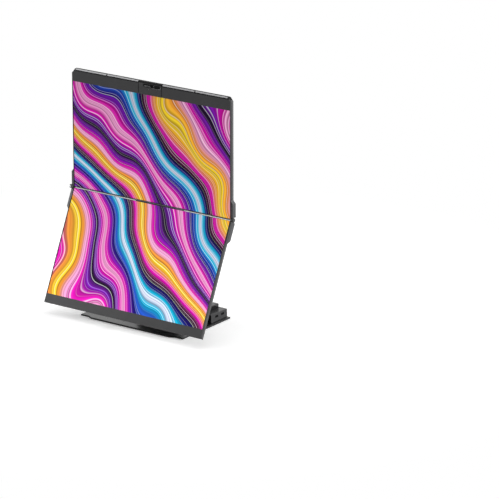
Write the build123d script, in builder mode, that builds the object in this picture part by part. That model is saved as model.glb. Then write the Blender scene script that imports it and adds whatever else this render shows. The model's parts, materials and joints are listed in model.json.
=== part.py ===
from build123d import *
from math import cos, radians, sin
import os

# Stacked dual-screen monitor: two screens joined by a full-width hinge, carried by a lift column that turns
# on a base with a port hub. Millimetres, +Z up, the screens face -Y. The origin is on the desk, on the axis
# that the column turns about.

# Screens, a pair of 24-inch panels
panel_width = 540.0
panel_thick = 15.0
active_width = 538.0
active_height = 302.6
forehead = 29.8
chin = 26.2
seam_lip = 0.9
seam_bevel = 0.6
seam_half_gap = 2.6
hinge_height = 334.6
hinge_back = 3.3
fold_rest = 25.0

# Layers of a screen, from its front to its back
lip_thick = 1.2
lcd_thick = 1.6
guide_thick = 3.0
tray_thick = 1.0
stack_slack = 0.2
lcd_margin = 1.5
cover_wall = 2.0
cover_rim = 2.5
band_wall = 2.0
edge_break = 0.8

# Clearances
seat_gap = 0.3
fit_gap = 0.2
press_gap = 0.02
running_gap = 0.05
axial_gap = 0.1

# Ridge along the top of the upper screen
ridge_rise = 6.3
ridge_shoulder = 1.0
ridge_bevel = 4.0
ridge_rear_drop = 3.8
cover_drop = 3.0
corner_cut = 12.0
ridge_end_slope = 2.8
strip_edge = 1.5
strip_thick = 1.6
strip_gap = 4.0
strip_margin = 3.0

# Webcam in the middle of the ridge
module_width = 77.4
module_gap = 0.5
module_sill = 3.0
eye_x = 6.0
eye_drop = 4.0
eye_length = 58.0
eye_height = 9.6
eye_depth = 1.6
lens_offset = 5.0
lens_radius = 3.0
shutter_length = 28.0
shutter_thick = 1.0
webcam_pocket = 3.5
webcam_board_width = 60.0
webcam_board_height = 20.0
webcam_board_thick = 1.2

# Speakers behind the forehead
speaker_x = 150.0
speaker_length = 90.0
speaker_height = 14.0
speaker_depth = 10.5

# Boards, chassis and bosses inside the screens
board_thick = 1.2
board_length = 180.0
board_width = 55.0
board_post_radius = 3.0
board_post_height = 2.5
board_post_inset = 6.0
chassis_width = 240.0
chassis_margin = 12.0
chassis_thick = 1.2
mount_pitch = 100.0
mount_centre = 100.4
mount_boss_radius = 5.0
lower_board_drop = 230.0
stay_inset = 22.0

# Screws of the upper rear cover, as pairs of inset from the screen's side and height above the hinge
screw_radius = 1.2
screw_head_radius = 2.4
screw_head_height = 0.9
screw_length = 5.0
screw_boss_radius = 3.0
side_screws = ((7.0, 258.0), (22.0, 247.0), (7.0, 137.0), (22.0, 84.5))
middle_screws = ((68.0, 247.0), (58.0, 256.5))

# Hinge
leaf_thick = 8.0
leaf_inset = 1.5
leaf_bevel = 9.5
upper_leaf_length = 54.0
lower_leaf_length = 66.0
knuckle_radius = 5.8
knuckle_room = 0.7
pin_radius = 1.5
head_length = 5.7
clip_length = 1.0
washer_radius = 5.2
washer_thick = 0.8

# Back of the lower screen
keyhole_x = 43.0
keyhole_drop = 142.0
keyhole_radius = 11.0
keyhole_tip_radius = 2.5
keyhole_rise = 32.5
recess_half = 73.0
recess_height = 16.5
recess_depth = 5.5
recess_corner = 6.0
recess_wall = 1.5
lower_port_x = 42.0
control_width = 22.0
control_depth = 27.0
control_height = 22.0
button_back = 14.0
button_radius = 5.0
button_proud = 1.2
button_body = 4.5
button_travel = 0.8
switch_radius = 4.0
switch_height = 4.0

# Column and lift
column_width = 140.0
column_depth = 36.7
column_wall = 2.5
column_corner = 3.0
column_rise = 159.9
column_stand_off = 7.65
plinth_top = 58.0
plinth_wall = 4.0
plinth_roof = 6.0
swivel_gap = 4.0
spindle_radius = 8.0
spindle_head_radius = 13.0
spindle_head = 6.0
swivel_washer_radius = 16.5
nut_radius = 12.0
nut_height = 8.0
foot_thick = 12.0
cap_thick = 6.5
screw_port_radius = 4.0
screw_port_inset = 3.6
column_screw_radius = 2.0
column_screw_head = 3.6
column_screw_length = 22.0
rod_x = 45.0
rod_radius = 5.0
rod_seat = 4.0
carriage_width = 112.0
carriage_depth = 26.0
carriage_height = 80.0
carriage_drop = 2.6
bush_radius = 8.0
bush_length = 18.0
neck_width = 56.0
neck_margin = 10.0
slot_room = 4.0
gas_x = 24.0
gas_radius = 10.0
gas_bore = 8.5
gas_floor = 8.0
gas_rest = 10.0
gas_gland = 6.0
gas_end_room = 4.0
gas_head_room = 42.0
piston_height = 8.0
gas_rod_radius = 4.0
gas_rod_seat = 10.0
mount_plate_width = 128.0
mount_plate_thick = 4.0
mount_plate_rise = 163.0
mount_plate_corner = 6.0
mount_screw_radius = 2.0
mount_screw_head_radius = 4.0
mount_screw_head = 2.2
mount_screw_bite = 4.0
carriage_bolt_radius = 2.5
carriage_bolt_head = 4.8
carriage_bolt_length = 14.0
carriage_bolt_inset = 14.0

# Base
pad_thick = 1.0
plate_width = 353.0
plate_thick = 4.5
plate_rear = 86.0
plate_front = 135.2
tongue_reach = 7.5
tongue_root = 300.0
tongue_tip = 270.0
pad_length = 60.0
pad_width = 12.0
pad_inset = 10.0
middle_pad_length = 120.0
middle_pad_width = 30.0
plinth_bolt_x = 50.0
plinth_bolt_y = 9.0
plinth_bolt_radius = 2.5
plinth_bolt_head = 4.7
plinth_bolt_length = 16.0
plinth_boss_radius = 5.0

# Hub behind the column
hub_width = 332.0
hub_front = 10.6
hub_rear = 85.0
hub_height = 22.9
hub_wall = 2.0
step_inner = 90.5
step_outer = 147.5
step_shift = -4.0
step_front = 18.0
step_rear = 76.6
step_height = 13.0
hub_screw_radius = 1.5
hub_screw_head = 2.9
hub_screw_length = 14.0
hub_boss_radius = 3.5
front_boss_x = 120.0
front_boss_inset = 8.0
rear_boss_x = 60.0
rear_boss_inset = 12.0
standoff_height = 5.1
standoff_radius = 3.0
standoff_inset = 12.0
hub_board_thick = 1.6
hub_board_front = 24.0
hub_board_gap = 2.0

# Sockets
port_gap = 0.25
port_recess = 0.2
tongue_thick = 0.7
tongue_back = 1.2
ethernet_x = 0.0
ethernet_width = 16.0
ethernet_height = 13.4
ethernet_length = 18.0
ethernet_wall = 1.6
ethernet_tongue = 3.4
hdmi_x = 40.5
hdmi_width = 15.0
hdmi_height = 5.8
hdmi_length = 11.0
usb_c_x = 81.5
usb_c_width = 8.9
usb_c_height = 3.2
usb_c_length = 7.5
usb_a_front = 36.0
usb_a_rear = 64.0
usb_a_width = 13.1
usb_a_height = 5.7
usb_a_length = 14.0
usb_a_lift = 3.95
shell_wall = 0.4
jack_x = 130.0
jack_size = 9.0
jack_length = 12.0
jack_nose_radius = 4.0
jack_bore_radius = 2.8
card_y = 49.0
card_width = 26.0
card_height = 3.2
card_length = 24.0

# Heights that follow from the base
plate_top = pad_thick + plate_thick
hub_top = plate_top + hub_height
hub_board_top = plate_top + standoff_height + hub_board_thick
column_bottom = plinth_top + swivel_gap
foot_top = column_bottom + foot_thick
column_top = hinge_height + column_rise
cap_seat = column_top - cap_thick
carriage_high = hinge_height - carriage_drop
carriage_low = carriage_high - carriage_height
neck_high = carriage_high - neck_margin
neck_low = carriage_low + neck_margin
piston_low = foot_top + gas_floor + gas_rest
gas_top = carriage_low - gas_head_room
gas_bore_top = gas_top - gas_gland
lift_travel = gas_bore_top - gas_end_room - piston_height - piston_low

# Depths of a screen's layers behind its front face
lcd_front = lip_thick
guide_front = lcd_front + lcd_thick
tray_front = guide_front + guide_thick
tray_back = tray_front + tray_thick
bezel_depth = tray_back + stack_slack
cover_inside = panel_thick - cover_wall

# Places in the screens' own coordinates: across from the middle, and up from the hinge axis
half_width = panel_width / 2
half_active = active_width / 2
half_lcd = half_active - fit_gap
upper_low = seam_half_gap
upper_window_low = upper_low + seam_lip
upper_window_high = upper_window_low + active_height
upper_high = upper_window_high + forehead
lower_high = -seam_half_gap
lower_window_high = lower_high - seam_lip
lower_window_low = lower_window_high - active_height
lower_low = lower_window_low - chin
upper_lcd = (upper_window_low + fit_gap, upper_window_high + lcd_margin)
lower_lcd = (lower_window_low - lcd_margin, lower_window_high - fit_gap)
ridge_top = upper_high + ridge_rise
cover_high = upper_high - cover_drop
corner_low = ridge_top - corner_cut
module_half = module_width / 2
module_low = upper_window_high + module_sill
eye_y = upper_high - eye_drop

# The hinge axis, behind the front faces and before the column
panel_rear = -column_depth / 2 - column_stand_off
front_y = panel_rear - panel_thick
hinge_axis = Vector(0, front_y + hinge_back, hinge_height)
leaf_face = half_width + leaf_thick
knuckle_middle = half_width + (seat_gap + leaf_thick) / 2
washer_low = knuckle_middle - washer_thick / 2
washer_high = knuckle_middle + washer_thick / 2
rod_stop = leaf_face + seat_gap
head_face = -rod_stop - head_length
clip_face = rod_stop + clip_length

CENTRE = Align.CENTER
DOWNWARD = (CENTRE, CENTRE, Align.MAX)
UPWARD = (CENTRE, CENTRE, Align.MIN)


def save(piece, name):
    """Labels a finished piece and writes it as one STEP file."""
    piece.part.label = name
    export_step(piece.part, f"parts/{name}.step")


def screen_plane(lean, depth):
    """Plane parallel to a screen's front: X across, Y up from the hinge axis, Z towards the viewer."""
    facing = Vector(0, -cos(radians(lean)), sin(radians(lean)))
    return Plane(hinge_axis + facing * (hinge_back - depth), x_dir=(1, 0, 0), z_dir=facing)


def place(lean, depth, height):
    """World Y and Z of a point of a screen's middle."""
    plane = screen_plane(lean, depth)
    point = plane.origin + plane.y_dir * height
    return (point.Y, point.Z)


def outer_half(height):
    """Half width of the upper screen at a height within its bevelled top corners."""
    return half_width - (height - corner_low)


def block(low, high, mode=Mode.ADD):
    """Box between two corners."""
    with Locations(tuple((a + b) / 2 for a, b in zip(low, high))):
        Box(*(b - a for a, b in zip(low, high)), mode=mode)


def slab(lean, depth, thick, low, high, mode=Mode.ADD):
    """Rectangular slab of a screen, running back from depth, between two corners."""
    with BuildSketch(screen_plane(lean, depth)) as outline:
        with Locations(((low[0] + high[0]) / 2, (low[1] + high[1]) / 2)):
            Rectangle(high[0] - low[0], high[1] - low[1])
    extrude(outline.sketch, amount=-thick, mode=mode)


def posts(lean, depth, length, radius, spots, mode=Mode.ADD):
    """Round posts or holes of a screen, running back from depth."""
    with BuildSketch(screen_plane(lean, depth)) as outline:
        with Locations(*spots):
            Circle(radius)
    extrude(outline.sketch, amount=-length, mode=mode)


def barrel(low_x, high_x, radius, mode=Mode.ADD):
    """Cylinder round the hinge axis."""
    with Locations(((low_x + high_x) / 2, hinge_axis.Y, hinge_axis.Z)):
        Cylinder(radius, high_x - low_x, rotation=(0, 90, 0), mode=mode)


def upright(x, y, low, high, radius, mode=Mode.ADD):
    """Vertical cylinder between two heights."""
    with Locations((x, y, low)):
        Cylinder(radius, high - low, align=UPWARD, mode=mode)


def flat_screws(spots, radius, head_radius, length, gap=0.0, mode=Mode.ADD):
    """Countersunk screws at spots whose Z points out of the head; with a gap, their holes."""
    with Locations(*spots):
        Cone(radius + gap, head_radius + gap, head_radius - radius, align=DOWNWARD, mode=mode)
        Cylinder(radius + gap, length, align=DOWNWARD, mode=mode)


def both_sides(spots):
    """Each spot and its mirror image across the middle."""
    return [(side * x, y) for x, y in spots for side in (-1, 1)]


def downward_planes(spots, height):
    """Planes that face down at a height, one at each spot."""
    return [Plane((x, y, height), x_dir=(1, 0, 0), z_dir=(0, 0, -1)) for x, y in spots]


def lattice(half_x, low_y, high_y):
    """Four corners of a rectangle that is centred across."""
    return both_sides(((half_x, low_y), (half_x, high_y)))


# Base plate and its pads
plinth_bolt_spots = lattice(plinth_bolt_x, -plinth_bolt_y, plinth_bolt_y)
hub_boss_spots = both_sides((
    (front_boss_x, hub_front + front_boss_inset),
    (rear_boss_x, hub_rear - rear_boss_inset),
))
plinth_bolt_planes = downward_planes(plinth_bolt_spots, pad_thick)
hub_screw_planes = downward_planes(hub_boss_spots, pad_thick)

with BuildPart() as base_plate:
    with BuildSketch(Plane.XY.offset(pad_thick)):
        with BuildLine():
            Polyline(
                (-plate_width / 2, plate_rear),
                (plate_width / 2, plate_rear),
                (plate_width / 2, -plate_front),
                (tongue_root / 2, -plate_front),
                (tongue_tip / 2, -plate_front - tongue_reach),
                (-tongue_tip / 2, -plate_front - tongue_reach),
                (-tongue_root / 2, -plate_front),
                (-plate_width / 2, -plate_front),
                close=True,
            )
        make_face()
    extrude(amount=plate_thick)
    chamfer(base_plate.faces().sort_by(Axis.Z)[-1].edges(), edge_break)
    flat_screws(plinth_bolt_planes, plinth_bolt_radius, plinth_bolt_head, plate_thick + seat_gap, fit_gap,
                Mode.SUBTRACT)
    flat_screws(hub_screw_planes, hub_screw_radius, hub_screw_head, plate_thick + seat_gap, fit_gap,
                Mode.SUBTRACT)
save(base_plate, "base_plate")

with BuildPart() as base_pads:
    Box(middle_pad_length, middle_pad_width, pad_thick, align=UPWARD)
    pad_x = plate_width / 2 - pad_inset - pad_length / 2
    pad_low = pad_inset + pad_width / 2 - plate_front
    pad_high = plate_rear - pad_inset - pad_width / 2
    with Locations(*[(x, y, 0) for x, y in lattice(pad_x, pad_low, pad_high)]):
        Box(pad_length, pad_width, pad_thick, align=UPWARD)
save(base_pads, "base_pads")

# Plinth, bolted to the plate from below
with BuildPart() as plinth:
    with BuildSketch(Plane.XY.offset(plate_top)):
        RectangleRounded(column_width, column_depth, column_corner)
    extrude(amount=plinth_top - plate_top)
    chamfer(plinth.faces().sort_by(Axis.Z)[-1].edges(), edge_break)
    with BuildSketch(Plane.XY.offset(plate_top)):
        Rectangle(column_width - 2 * plinth_wall, column_depth - 2 * plinth_wall)
    extrude(amount=plinth_top - plinth_roof - plate_top, mode=Mode.SUBTRACT)
    for x, y in plinth_bolt_spots:
        upright(x, y, plate_top, plinth_top - plinth_roof, plinth_boss_radius)
        upright(x, y, plate_top, pad_thick + plinth_bolt_length + seat_gap, plinth_bolt_radius + running_gap,
                Mode.SUBTRACT)
    upright(0, 0, plinth_top - plinth_roof, plinth_top, spindle_radius + press_gap, Mode.SUBTRACT)
save(plinth, "plinth")

with BuildPart() as plinth_bolts:
    flat_screws(plinth_bolt_planes, plinth_bolt_radius, plinth_bolt_head, plinth_bolt_length)
save(plinth_bolts, "plinth_bolts")

# Swivel between the plinth and the column
nut_low = foot_top + axial_gap
with BuildPart() as swivel_spindle:
    upright(0, 0, plinth_top - plinth_roof - spindle_head, plinth_top - plinth_roof, spindle_head_radius)
    upright(0, 0, plinth_top - plinth_roof, nut_low + nut_height, spindle_radius)
save(swivel_spindle, "swivel_spindle")

with BuildPart() as swivel_washer:
    upright(0, 0, plinth_top, column_bottom - axial_gap, swivel_washer_radius)
    upright(0, 0, plinth_top, column_bottom - axial_gap, spindle_radius + running_gap, Mode.SUBTRACT)
save(swivel_washer, "swivel_washer")

with BuildPart() as swivel_nut:
    with BuildSketch(Plane.XY.offset(nut_low)):
        RegularPolygon(nut_radius, 6)
        Circle(spindle_radius + press_gap, mode=Mode.SUBTRACT)
    extrude(amount=nut_height)
save(swivel_nut, "swivel_nut")


# Hub: mouths of its sockets, whose Z points out of the hub
def rear_mouth(x, height):
    return Plane((x, hub_rear - port_recess, hub_board_top + height / 2), x_dir=(-1, 0, 0), z_dir=(0, 1, 0))


def end_mouth(side, y, height):
    face_x = side * (hub_width / 2 - port_recess)
    return Plane((face_x, y, hub_board_top + height), x_dir=(0, side, 0), z_dir=(side, 0, 0))


ethernet_mouths = [rear_mouth(ethernet_x, ethernet_height)]
hdmi_mouths = [rear_mouth(side * hdmi_x, hdmi_height) for side in (-1, 1)]
usb_c_mouths = [rear_mouth(side * usb_c_x, usb_c_height) for side in (-1, 1)]
usb_a_mouths = [end_mouth(1, y, usb_a_lift + usb_a_height / 2) for y in (usb_a_front, usb_a_rear)]
jack_mouths = [rear_mouth(side * jack_x, jack_size) for side in (-1, 1)]
card_mouths = [end_mouth(-1, card_y, card_height / 2)]


def port_cuts(mouths, width, height):
    """Openings in a wall for the sockets at the mouths."""
    for mouth in mouths:
        with BuildSketch(mouth.offset(port_recess + fit_gap)) as opening:
            Rectangle(width + 2 * port_gap, height + 2 * port_gap)
        extrude(opening.sketch, amount=-(port_recess + hub_wall + 2 * fit_gap), mode=Mode.SUBTRACT)


def sockets(mouths, width, height, length, wall, tongue=0.0):
    """Open-mouthed shells, one at each mouth, with a contact tongue at a height above the middle."""
    with BuildPart() as shells:
        for mouth in mouths:
            with BuildSketch(mouth):
                Rectangle(width, height)
                Rectangle(width - 2 * wall, height - 2 * wall, mode=Mode.SUBTRACT)
            extrude(amount=-length)
            with BuildSketch(mouth.offset(wall - length)):
                Rectangle(width, height)
            extrude(amount=-wall)
            with BuildSketch(mouth.offset(-tongue_back)):
                with Locations((0, tongue)):
                    Rectangle(width / 2, tongue_thick)
            extrude(amount=-(length - tongue_back))
    return shells


with BuildPart() as hub_shell:
    notch_half = column_width / 2 + seat_gap
    notch_rear = column_depth / 2 + seat_gap
    block((-hub_width / 2, hub_front, plate_top), (hub_width / 2, hub_rear, hub_top))
    chamfer(hub_shell.faces().sort_by(Axis.Z)[-1].edges(), edge_break)
    block((-notch_half, hub_front, plate_top), (notch_half, notch_rear, hub_top), Mode.SUBTRACT)
    with BuildSketch(Plane.XY.offset(plate_top)):
        with Locations((0, (hub_front + hub_rear) / 2)):
            Rectangle(hub_width - 2 * hub_wall, hub_rear - hub_front - 2 * hub_wall)
        with Locations((0, hub_front)):
            Rectangle(2 * (notch_half + hub_wall), notch_rear + hub_wall - hub_front,
                      align=(CENTRE, Align.MIN), mode=Mode.SUBTRACT)
    extrude(amount=hub_height - hub_wall, mode=Mode.SUBTRACT)
    for x, y in hub_boss_spots:
        upright(x, y, plate_top, hub_top - hub_wall, hub_boss_radius)
        upright(x, y, plate_top, pad_thick + hub_screw_length + seat_gap, hub_screw_radius + running_gap,
                Mode.SUBTRACT)
    port_cuts(ethernet_mouths, ethernet_width, ethernet_height)
    port_cuts(hdmi_mouths, hdmi_width, hdmi_height)
    port_cuts(usb_c_mouths, usb_c_width, usb_c_height)
    port_cuts(usb_a_mouths, usb_a_width, usb_a_height)
    port_cuts(card_mouths, card_width, card_height)
    for mouth in jack_mouths:
        with BuildSketch(mouth.offset(port_recess + fit_gap)):
            Circle(jack_nose_radius + port_gap)
        extrude(amount=-(port_recess + hub_wall + 2 * fit_gap), mode=Mode.SUBTRACT)
save(hub_shell, "hub_shell")

with BuildPart() as hub_blocks:
    for side in (-1, 1):
        low_x, high_x = sorted((step_shift + side * step_inner, step_shift + side * step_outer))
        block((low_x, step_front, hub_top), (high_x, step_rear, hub_top + step_height))
    chamfer(hub_blocks.faces().group_by(Axis.Z)[-1].edges(), edge_break)
    for side in (-1, 1):
        low_x, high_x = sorted((step_shift + side * (step_inner + hub_wall),
                                step_shift + side * (step_outer - hub_wall)))
        block((low_x, step_front + hub_wall, hub_top),
              (high_x, step_rear - hub_wall, hub_top + step_height - hub_wall), Mode.SUBTRACT)
save(hub_blocks, "hub_blocks")

with BuildPart() as hub_screws:
    flat_screws(hub_screw_planes, hub_screw_radius, hub_screw_head, hub_screw_length)
save(hub_screws, "hub_screws")

hub_board_half = hub_width / 2 - hub_wall - hub_board_gap
hub_board_rear = hub_rear - hub_wall - seat_gap
hub_board_low = hub_board_top - hub_board_thick
with BuildPart() as hub_board:
    block((-hub_board_half, hub_board_front, hub_board_low), (hub_board_half, hub_board_rear, hub_board_top))
    for x, y in hub_boss_spots:
        upright(x, y, hub_board_low, hub_board_top, hub_boss_radius + seat_gap, Mode.SUBTRACT)
save(hub_board, "hub_board")

with BuildPart() as hub_standoffs:
    for x, y in lattice(hub_board_half - standoff_inset, hub_board_front + standoff_inset,
                        hub_board_rear - standoff_inset):
        upright(x, y, plate_top, hub_board_low, standoff_radius)
save(hub_standoffs, "hub_standoffs")

ethernet_jack = sockets(ethernet_mouths, ethernet_width, ethernet_height, ethernet_length, ethernet_wall,
                        ethernet_tongue)
save(ethernet_jack, "ethernet_jack")
save(sockets(hdmi_mouths, hdmi_width, hdmi_height, hdmi_length, shell_wall), "hdmi_sockets")
save(sockets(usb_c_mouths, usb_c_width, usb_c_height, usb_c_length, shell_wall), "usb_c_sockets")
save(sockets(card_mouths, card_width, card_height, card_length, shell_wall), "card_reader")

usb_a_sockets = sockets(usb_a_mouths, usb_a_width, usb_a_height, usb_a_length, shell_wall)
with usb_a_sockets:
    usb_a_outer = hub_width / 2 - hub_wall - hub_board_gap
    for y in (usb_a_front, usb_a_rear):
        block((hub_width / 2 - port_recess - usb_a_length, y - usb_a_width / 2, hub_board_top),
              (usb_a_outer, y + usb_a_width / 2, hub_board_top + usb_a_lift))
save(usb_a_sockets, "usb_a_sockets")

with BuildPart() as power_and_audio_jacks:
    for mouth in jack_mouths:
        with BuildSketch(mouth):
            Circle(jack_nose_radius)
        extrude(amount=-(hub_wall + fit_gap))
        with BuildSketch(mouth.offset(-(hub_wall + fit_gap))):
            Rectangle(jack_size, jack_size)
        extrude(amount=-jack_length)
        with BuildSketch(mouth):
            Circle(jack_bore_radius)
        extrude(amount=-jack_length, mode=Mode.SUBTRACT)
save(power_and_audio_jacks, "power_and_audio_jacks")

# Column: a tube on a foot that turns on the spindle
inner_width = column_width - 2 * column_wall
inner_depth = column_depth - 2 * column_wall
port_spots = lattice(inner_width / 2 - screw_port_inset, screw_port_inset - inner_depth / 2,
                     inner_depth / 2 - screw_port_inset)
foot_screw_spots = downward_planes(port_spots, column_bottom)
rod_spots = ((-rod_x, 0), (rod_x, 0))

with BuildPart() as column_shell:
    with BuildSketch(Plane.XY.offset(column_bottom)):
        RectangleRounded(column_width, column_depth, column_corner)
        Rectangle(inner_width, inner_depth, mode=Mode.SUBTRACT)
    extrude(amount=column_top - column_bottom)
    with BuildSketch(Plane.XY.offset(foot_top)):
        with Locations(*port_spots):
            Circle(screw_port_radius)
    extrude(amount=cap_seat - foot_top)
    for x, y in port_spots:
        upright(x, y, foot_top, column_bottom + column_screw_length + seat_gap,
                column_screw_radius + running_gap, Mode.SUBTRACT)
    slot_half = neck_width / 2 + slot_room
    block((-slot_half, -column_depth / 2, neck_low - slot_room),
          (slot_half, -inner_depth / 2, neck_high + lift_travel + slot_room), Mode.SUBTRACT)
save(column_shell, "column_shell")

with BuildPart() as column_foot:
    block((fit_gap - inner_width / 2, fit_gap - inner_depth / 2, column_bottom),
          (inner_width / 2 - fit_gap, inner_depth / 2 - fit_gap, foot_top))
    upright(0, 0, column_bottom, foot_top, spindle_radius + running_gap, Mode.SUBTRACT)
    for x, y in rod_spots:
        upright(x, y, foot_top - rod_seat, foot_top, rod_radius + press_gap, Mode.SUBTRACT)
    flat_screws(foot_screw_spots, column_screw_radius, column_screw_head, foot_thick + seat_gap, fit_gap,
                Mode.SUBTRACT)
save(column_foot, "column_foot")

with BuildPart() as column_screws:
    flat_screws(foot_screw_spots, column_screw_radius, column_screw_head, column_screw_length)
save(column_screws, "column_screws")

with BuildPart() as column_cap:
    block((fit_gap - inner_width / 2, fit_gap - inner_depth / 2, cap_seat),
          (inner_width / 2 - fit_gap, inner_depth / 2 - fit_gap, column_top))
    for x, y in rod_spots:
        upright(x, y, cap_seat, cap_seat + rod_seat, rod_radius + press_gap, Mode.SUBTRACT)
save(column_cap, "column_cap")

with BuildPart() as guide_rods:
    for x, y in rod_spots:
        upright(x, y, foot_top - rod_seat, cap_seat + rod_seat, rod_radius)
save(guide_rods, "guide_rods")

# Gas spring that carries the screens
with BuildPart() as gas_cylinder:
    upright(gas_x, 0, foot_top, gas_top, gas_radius)
    upright(gas_x, 0, foot_top + gas_floor, gas_bore_top, gas_bore, Mode.SUBTRACT)
    upright(gas_x, 0, gas_bore_top, gas_top, gas_rod_radius + running_gap, Mode.SUBTRACT)
save(gas_cylinder, "gas_cylinder")

with BuildPart() as gas_rod:
    upright(gas_x, 0, piston_low, piston_low + piston_height, gas_bore - running_gap)
    upright(gas_x, 0, piston_low, carriage_low + gas_rod_seat, gas_rod_radius)
save(gas_rod, "gas_rod")

# Carriage on the guide rods, and the plate that it holds the upper screen by
mount_plate_rear = panel_rear + mount_plate_thick
carriage_bolt_spots = lattice(neck_width / 2 - carriage_bolt_inset, neck_low + carriage_bolt_inset,
                              neck_high - carriage_bolt_inset)
carriage_bolt_planes = [
    Plane((x, panel_rear, z), x_dir=(1, 0, 0), z_dir=(0, -1, 0)) for x, z in carriage_bolt_spots
]

with BuildPart() as carriage:
    with Locations((0, 0, carriage_low)):
        Box(carriage_width, carriage_depth, carriage_height, align=UPWARD)
    block((-neck_width / 2, mount_plate_rear, neck_low), (neck_width / 2, -carriage_depth / 2, neck_high))
    for x, y in rod_spots:
        upright(x, y, carriage_low, carriage_high, bush_radius + press_gap, Mode.SUBTRACT)
    upright(gas_x, 0, carriage_low, carriage_low + gas_rod_seat, gas_rod_radius + press_gap, Mode.SUBTRACT)
    with Locations(*carriage_bolt_planes):
        Cylinder(carriage_bolt_radius + running_gap, carriage_bolt_length + seat_gap, align=DOWNWARD,
                 mode=Mode.SUBTRACT)
save(carriage, "carriage")

with BuildPart() as carriage_bushes:
    for x, y in rod_spots:
        for low in (carriage_low, carriage_high - bush_length):
            upright(x, y, low, low + bush_length, bush_radius)
            upright(x, y, low, low + bush_length, rod_radius + running_gap, Mode.SUBTRACT)
save(carriage_bushes, "carriage_bushes")

mount_spots = lattice(mount_pitch / 2, mount_centre - mount_pitch / 2, mount_centre + mount_pitch / 2)
with BuildPart() as mount_plate:
    plate_low = neck_low - slot_room - hinge_height
    with BuildSketch(screen_plane(0, panel_thick)):
        with Locations((0, (plate_low + mount_plate_rise) / 2)):
            RectangleRounded(mount_plate_width, mount_plate_rise - plate_low, mount_plate_corner)
    extrude(amount=-mount_plate_thick)
    posts(0, panel_thick, mount_plate_thick, mount_screw_radius + fit_gap, mount_spots, Mode.SUBTRACT)
    flat_screws(carriage_bolt_planes, carriage_bolt_radius, carriage_bolt_head, mount_plate_thick + seat_gap,
                fit_gap, Mode.SUBTRACT)
save(mount_plate, "mount_plate")

with BuildPart() as carriage_bolts:
    flat_screws(carriage_bolt_planes, carriage_bolt_radius, carriage_bolt_head, carriage_bolt_length)
save(carriage_bolts, "carriage_bolts")

mount_screw_tip = cover_inside - mount_screw_bite
mount_seat = panel_thick + mount_plate_thick
with BuildPart() as mount_screws:
    posts(0, mount_screw_tip, mount_seat - mount_screw_tip, mount_screw_radius, mount_spots)
    posts(0, mount_seat, mount_screw_head, mount_screw_head_radius, mount_spots)
save(mount_screws, "mount_screws")


# Layers that both screens have
def layer(lean, depth, thick, span):
    """Sheet of the picture's stack, as large as the LCD, from its lowest to its highest height."""
    with BuildPart() as sheet:
        slab(lean, depth, thick, (-half_lcd, span[0]), (half_lcd, span[1]))
    return sheet


def cut_window(lean, window_low, window_high, span):
    """Opening for the picture, and the pocket behind the forehead or chin that holds the LCD's edge."""
    slab(lean, 0, bezel_depth, (-half_active, window_low), (half_active, window_high), Mode.SUBTRACT)
    pocket_low = min(window_low, span[0] - seat_gap)
    pocket_high = max(window_high, span[1] + seat_gap)
    slab(lean, lip_thick, bezel_depth - lip_thick, (-half_active, pocket_low), (half_active, pocket_high),
         Mode.SUBTRACT)


def ease_seam(bezel, lean, direction):
    """Bevel along the front edge at the hinge, where the screens pass each other when folded."""
    plane = screen_plane(lean, 0)
    front = bezel.edges().filter_by(Axis.X).group_by(Axis((0, 0, 0), plane.z_dir))[-1]
    chamfer(front.sort_by(Axis((0, 0, 0), plane.y_dir * direction))[-1], seam_bevel)


def hollow_cover(lean, low, high):
    """Space inside a rear cover."""
    slab(lean, bezel_depth, cover_inside - bezel_depth, (cover_rim - half_width, low + cover_rim),
         (half_width - cover_rim, high - cover_rim), Mode.SUBTRACT)


def break_edges(cover, lean):
    """Small bevel round the back of a screen's rear cover."""
    towards_viewer = Axis((0, 0, 0), screen_plane(lean, 0).z_dir)
    chamfer(cover.faces().sort_by(towards_viewer)[0].edges(), edge_break)


def circuit_board(lean, depth, middle):
    """Board on its posts."""
    with BuildPart() as board:
        slab(lean, depth, board_thick, (-board_length / 2, middle - board_width / 2),
             (board_length / 2, middle + board_width / 2))
    return board


def board_posts(middle):
    reach = board_width / 2 - board_post_inset
    return lattice(board_length / 2 - board_post_inset, middle - reach, middle + reach)


# Upper screen
edge_screws = tuple((half_width - inset, height) for inset, height in side_screws)
cover_screw_spots = both_sides(edge_screws + middle_screws)
band_low = upper_window_high + lcd_margin + seat_gap + band_wall
band_half = outer_half(upper_high) - 2 * band_wall

with BuildPart() as upper_bezel:
    with BuildSketch(screen_plane(0, 0)):
        with BuildLine():
            Polyline(
                (-half_width, upper_low),
                (half_width, upper_low),
                (half_width, corner_low),
                (outer_half(upper_high), upper_high),
                (-outer_half(upper_high), upper_high),
                (-half_width, corner_low),
                close=True,
            )
        make_face()
    extrude(amount=-bezel_depth)
    ease_seam(upper_bezel, 0, -1)
    cut_window(0, upper_window_low, upper_window_high, upper_lcd)
    slab(0, band_wall, bezel_depth - band_wall, (-band_half, band_low), (band_half, upper_high - band_wall),
         Mode.SUBTRACT)
    slab(0, 0, bezel_depth, (-module_half - module_gap, module_low - fit_gap),
         (module_half + module_gap, upper_high), Mode.SUBTRACT)
save(upper_bezel, "upper_bezel")

save(layer(0, lcd_front, lcd_thick, upper_lcd), "upper_lcd")
save(layer(0, guide_front, guide_thick, upper_lcd), "upper_light_guide")

upper_tray = layer(0, tray_front, tray_thick, upper_lcd)
with upper_tray:
    posts(0, tray_back, cover_inside - tray_back, screw_boss_radius, cover_screw_spots)
    posts(0, panel_thick - screw_length, screw_length, screw_radius + running_gap, cover_screw_spots,
          Mode.SUBTRACT)
save(upper_tray, "upper_tray")

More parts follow.
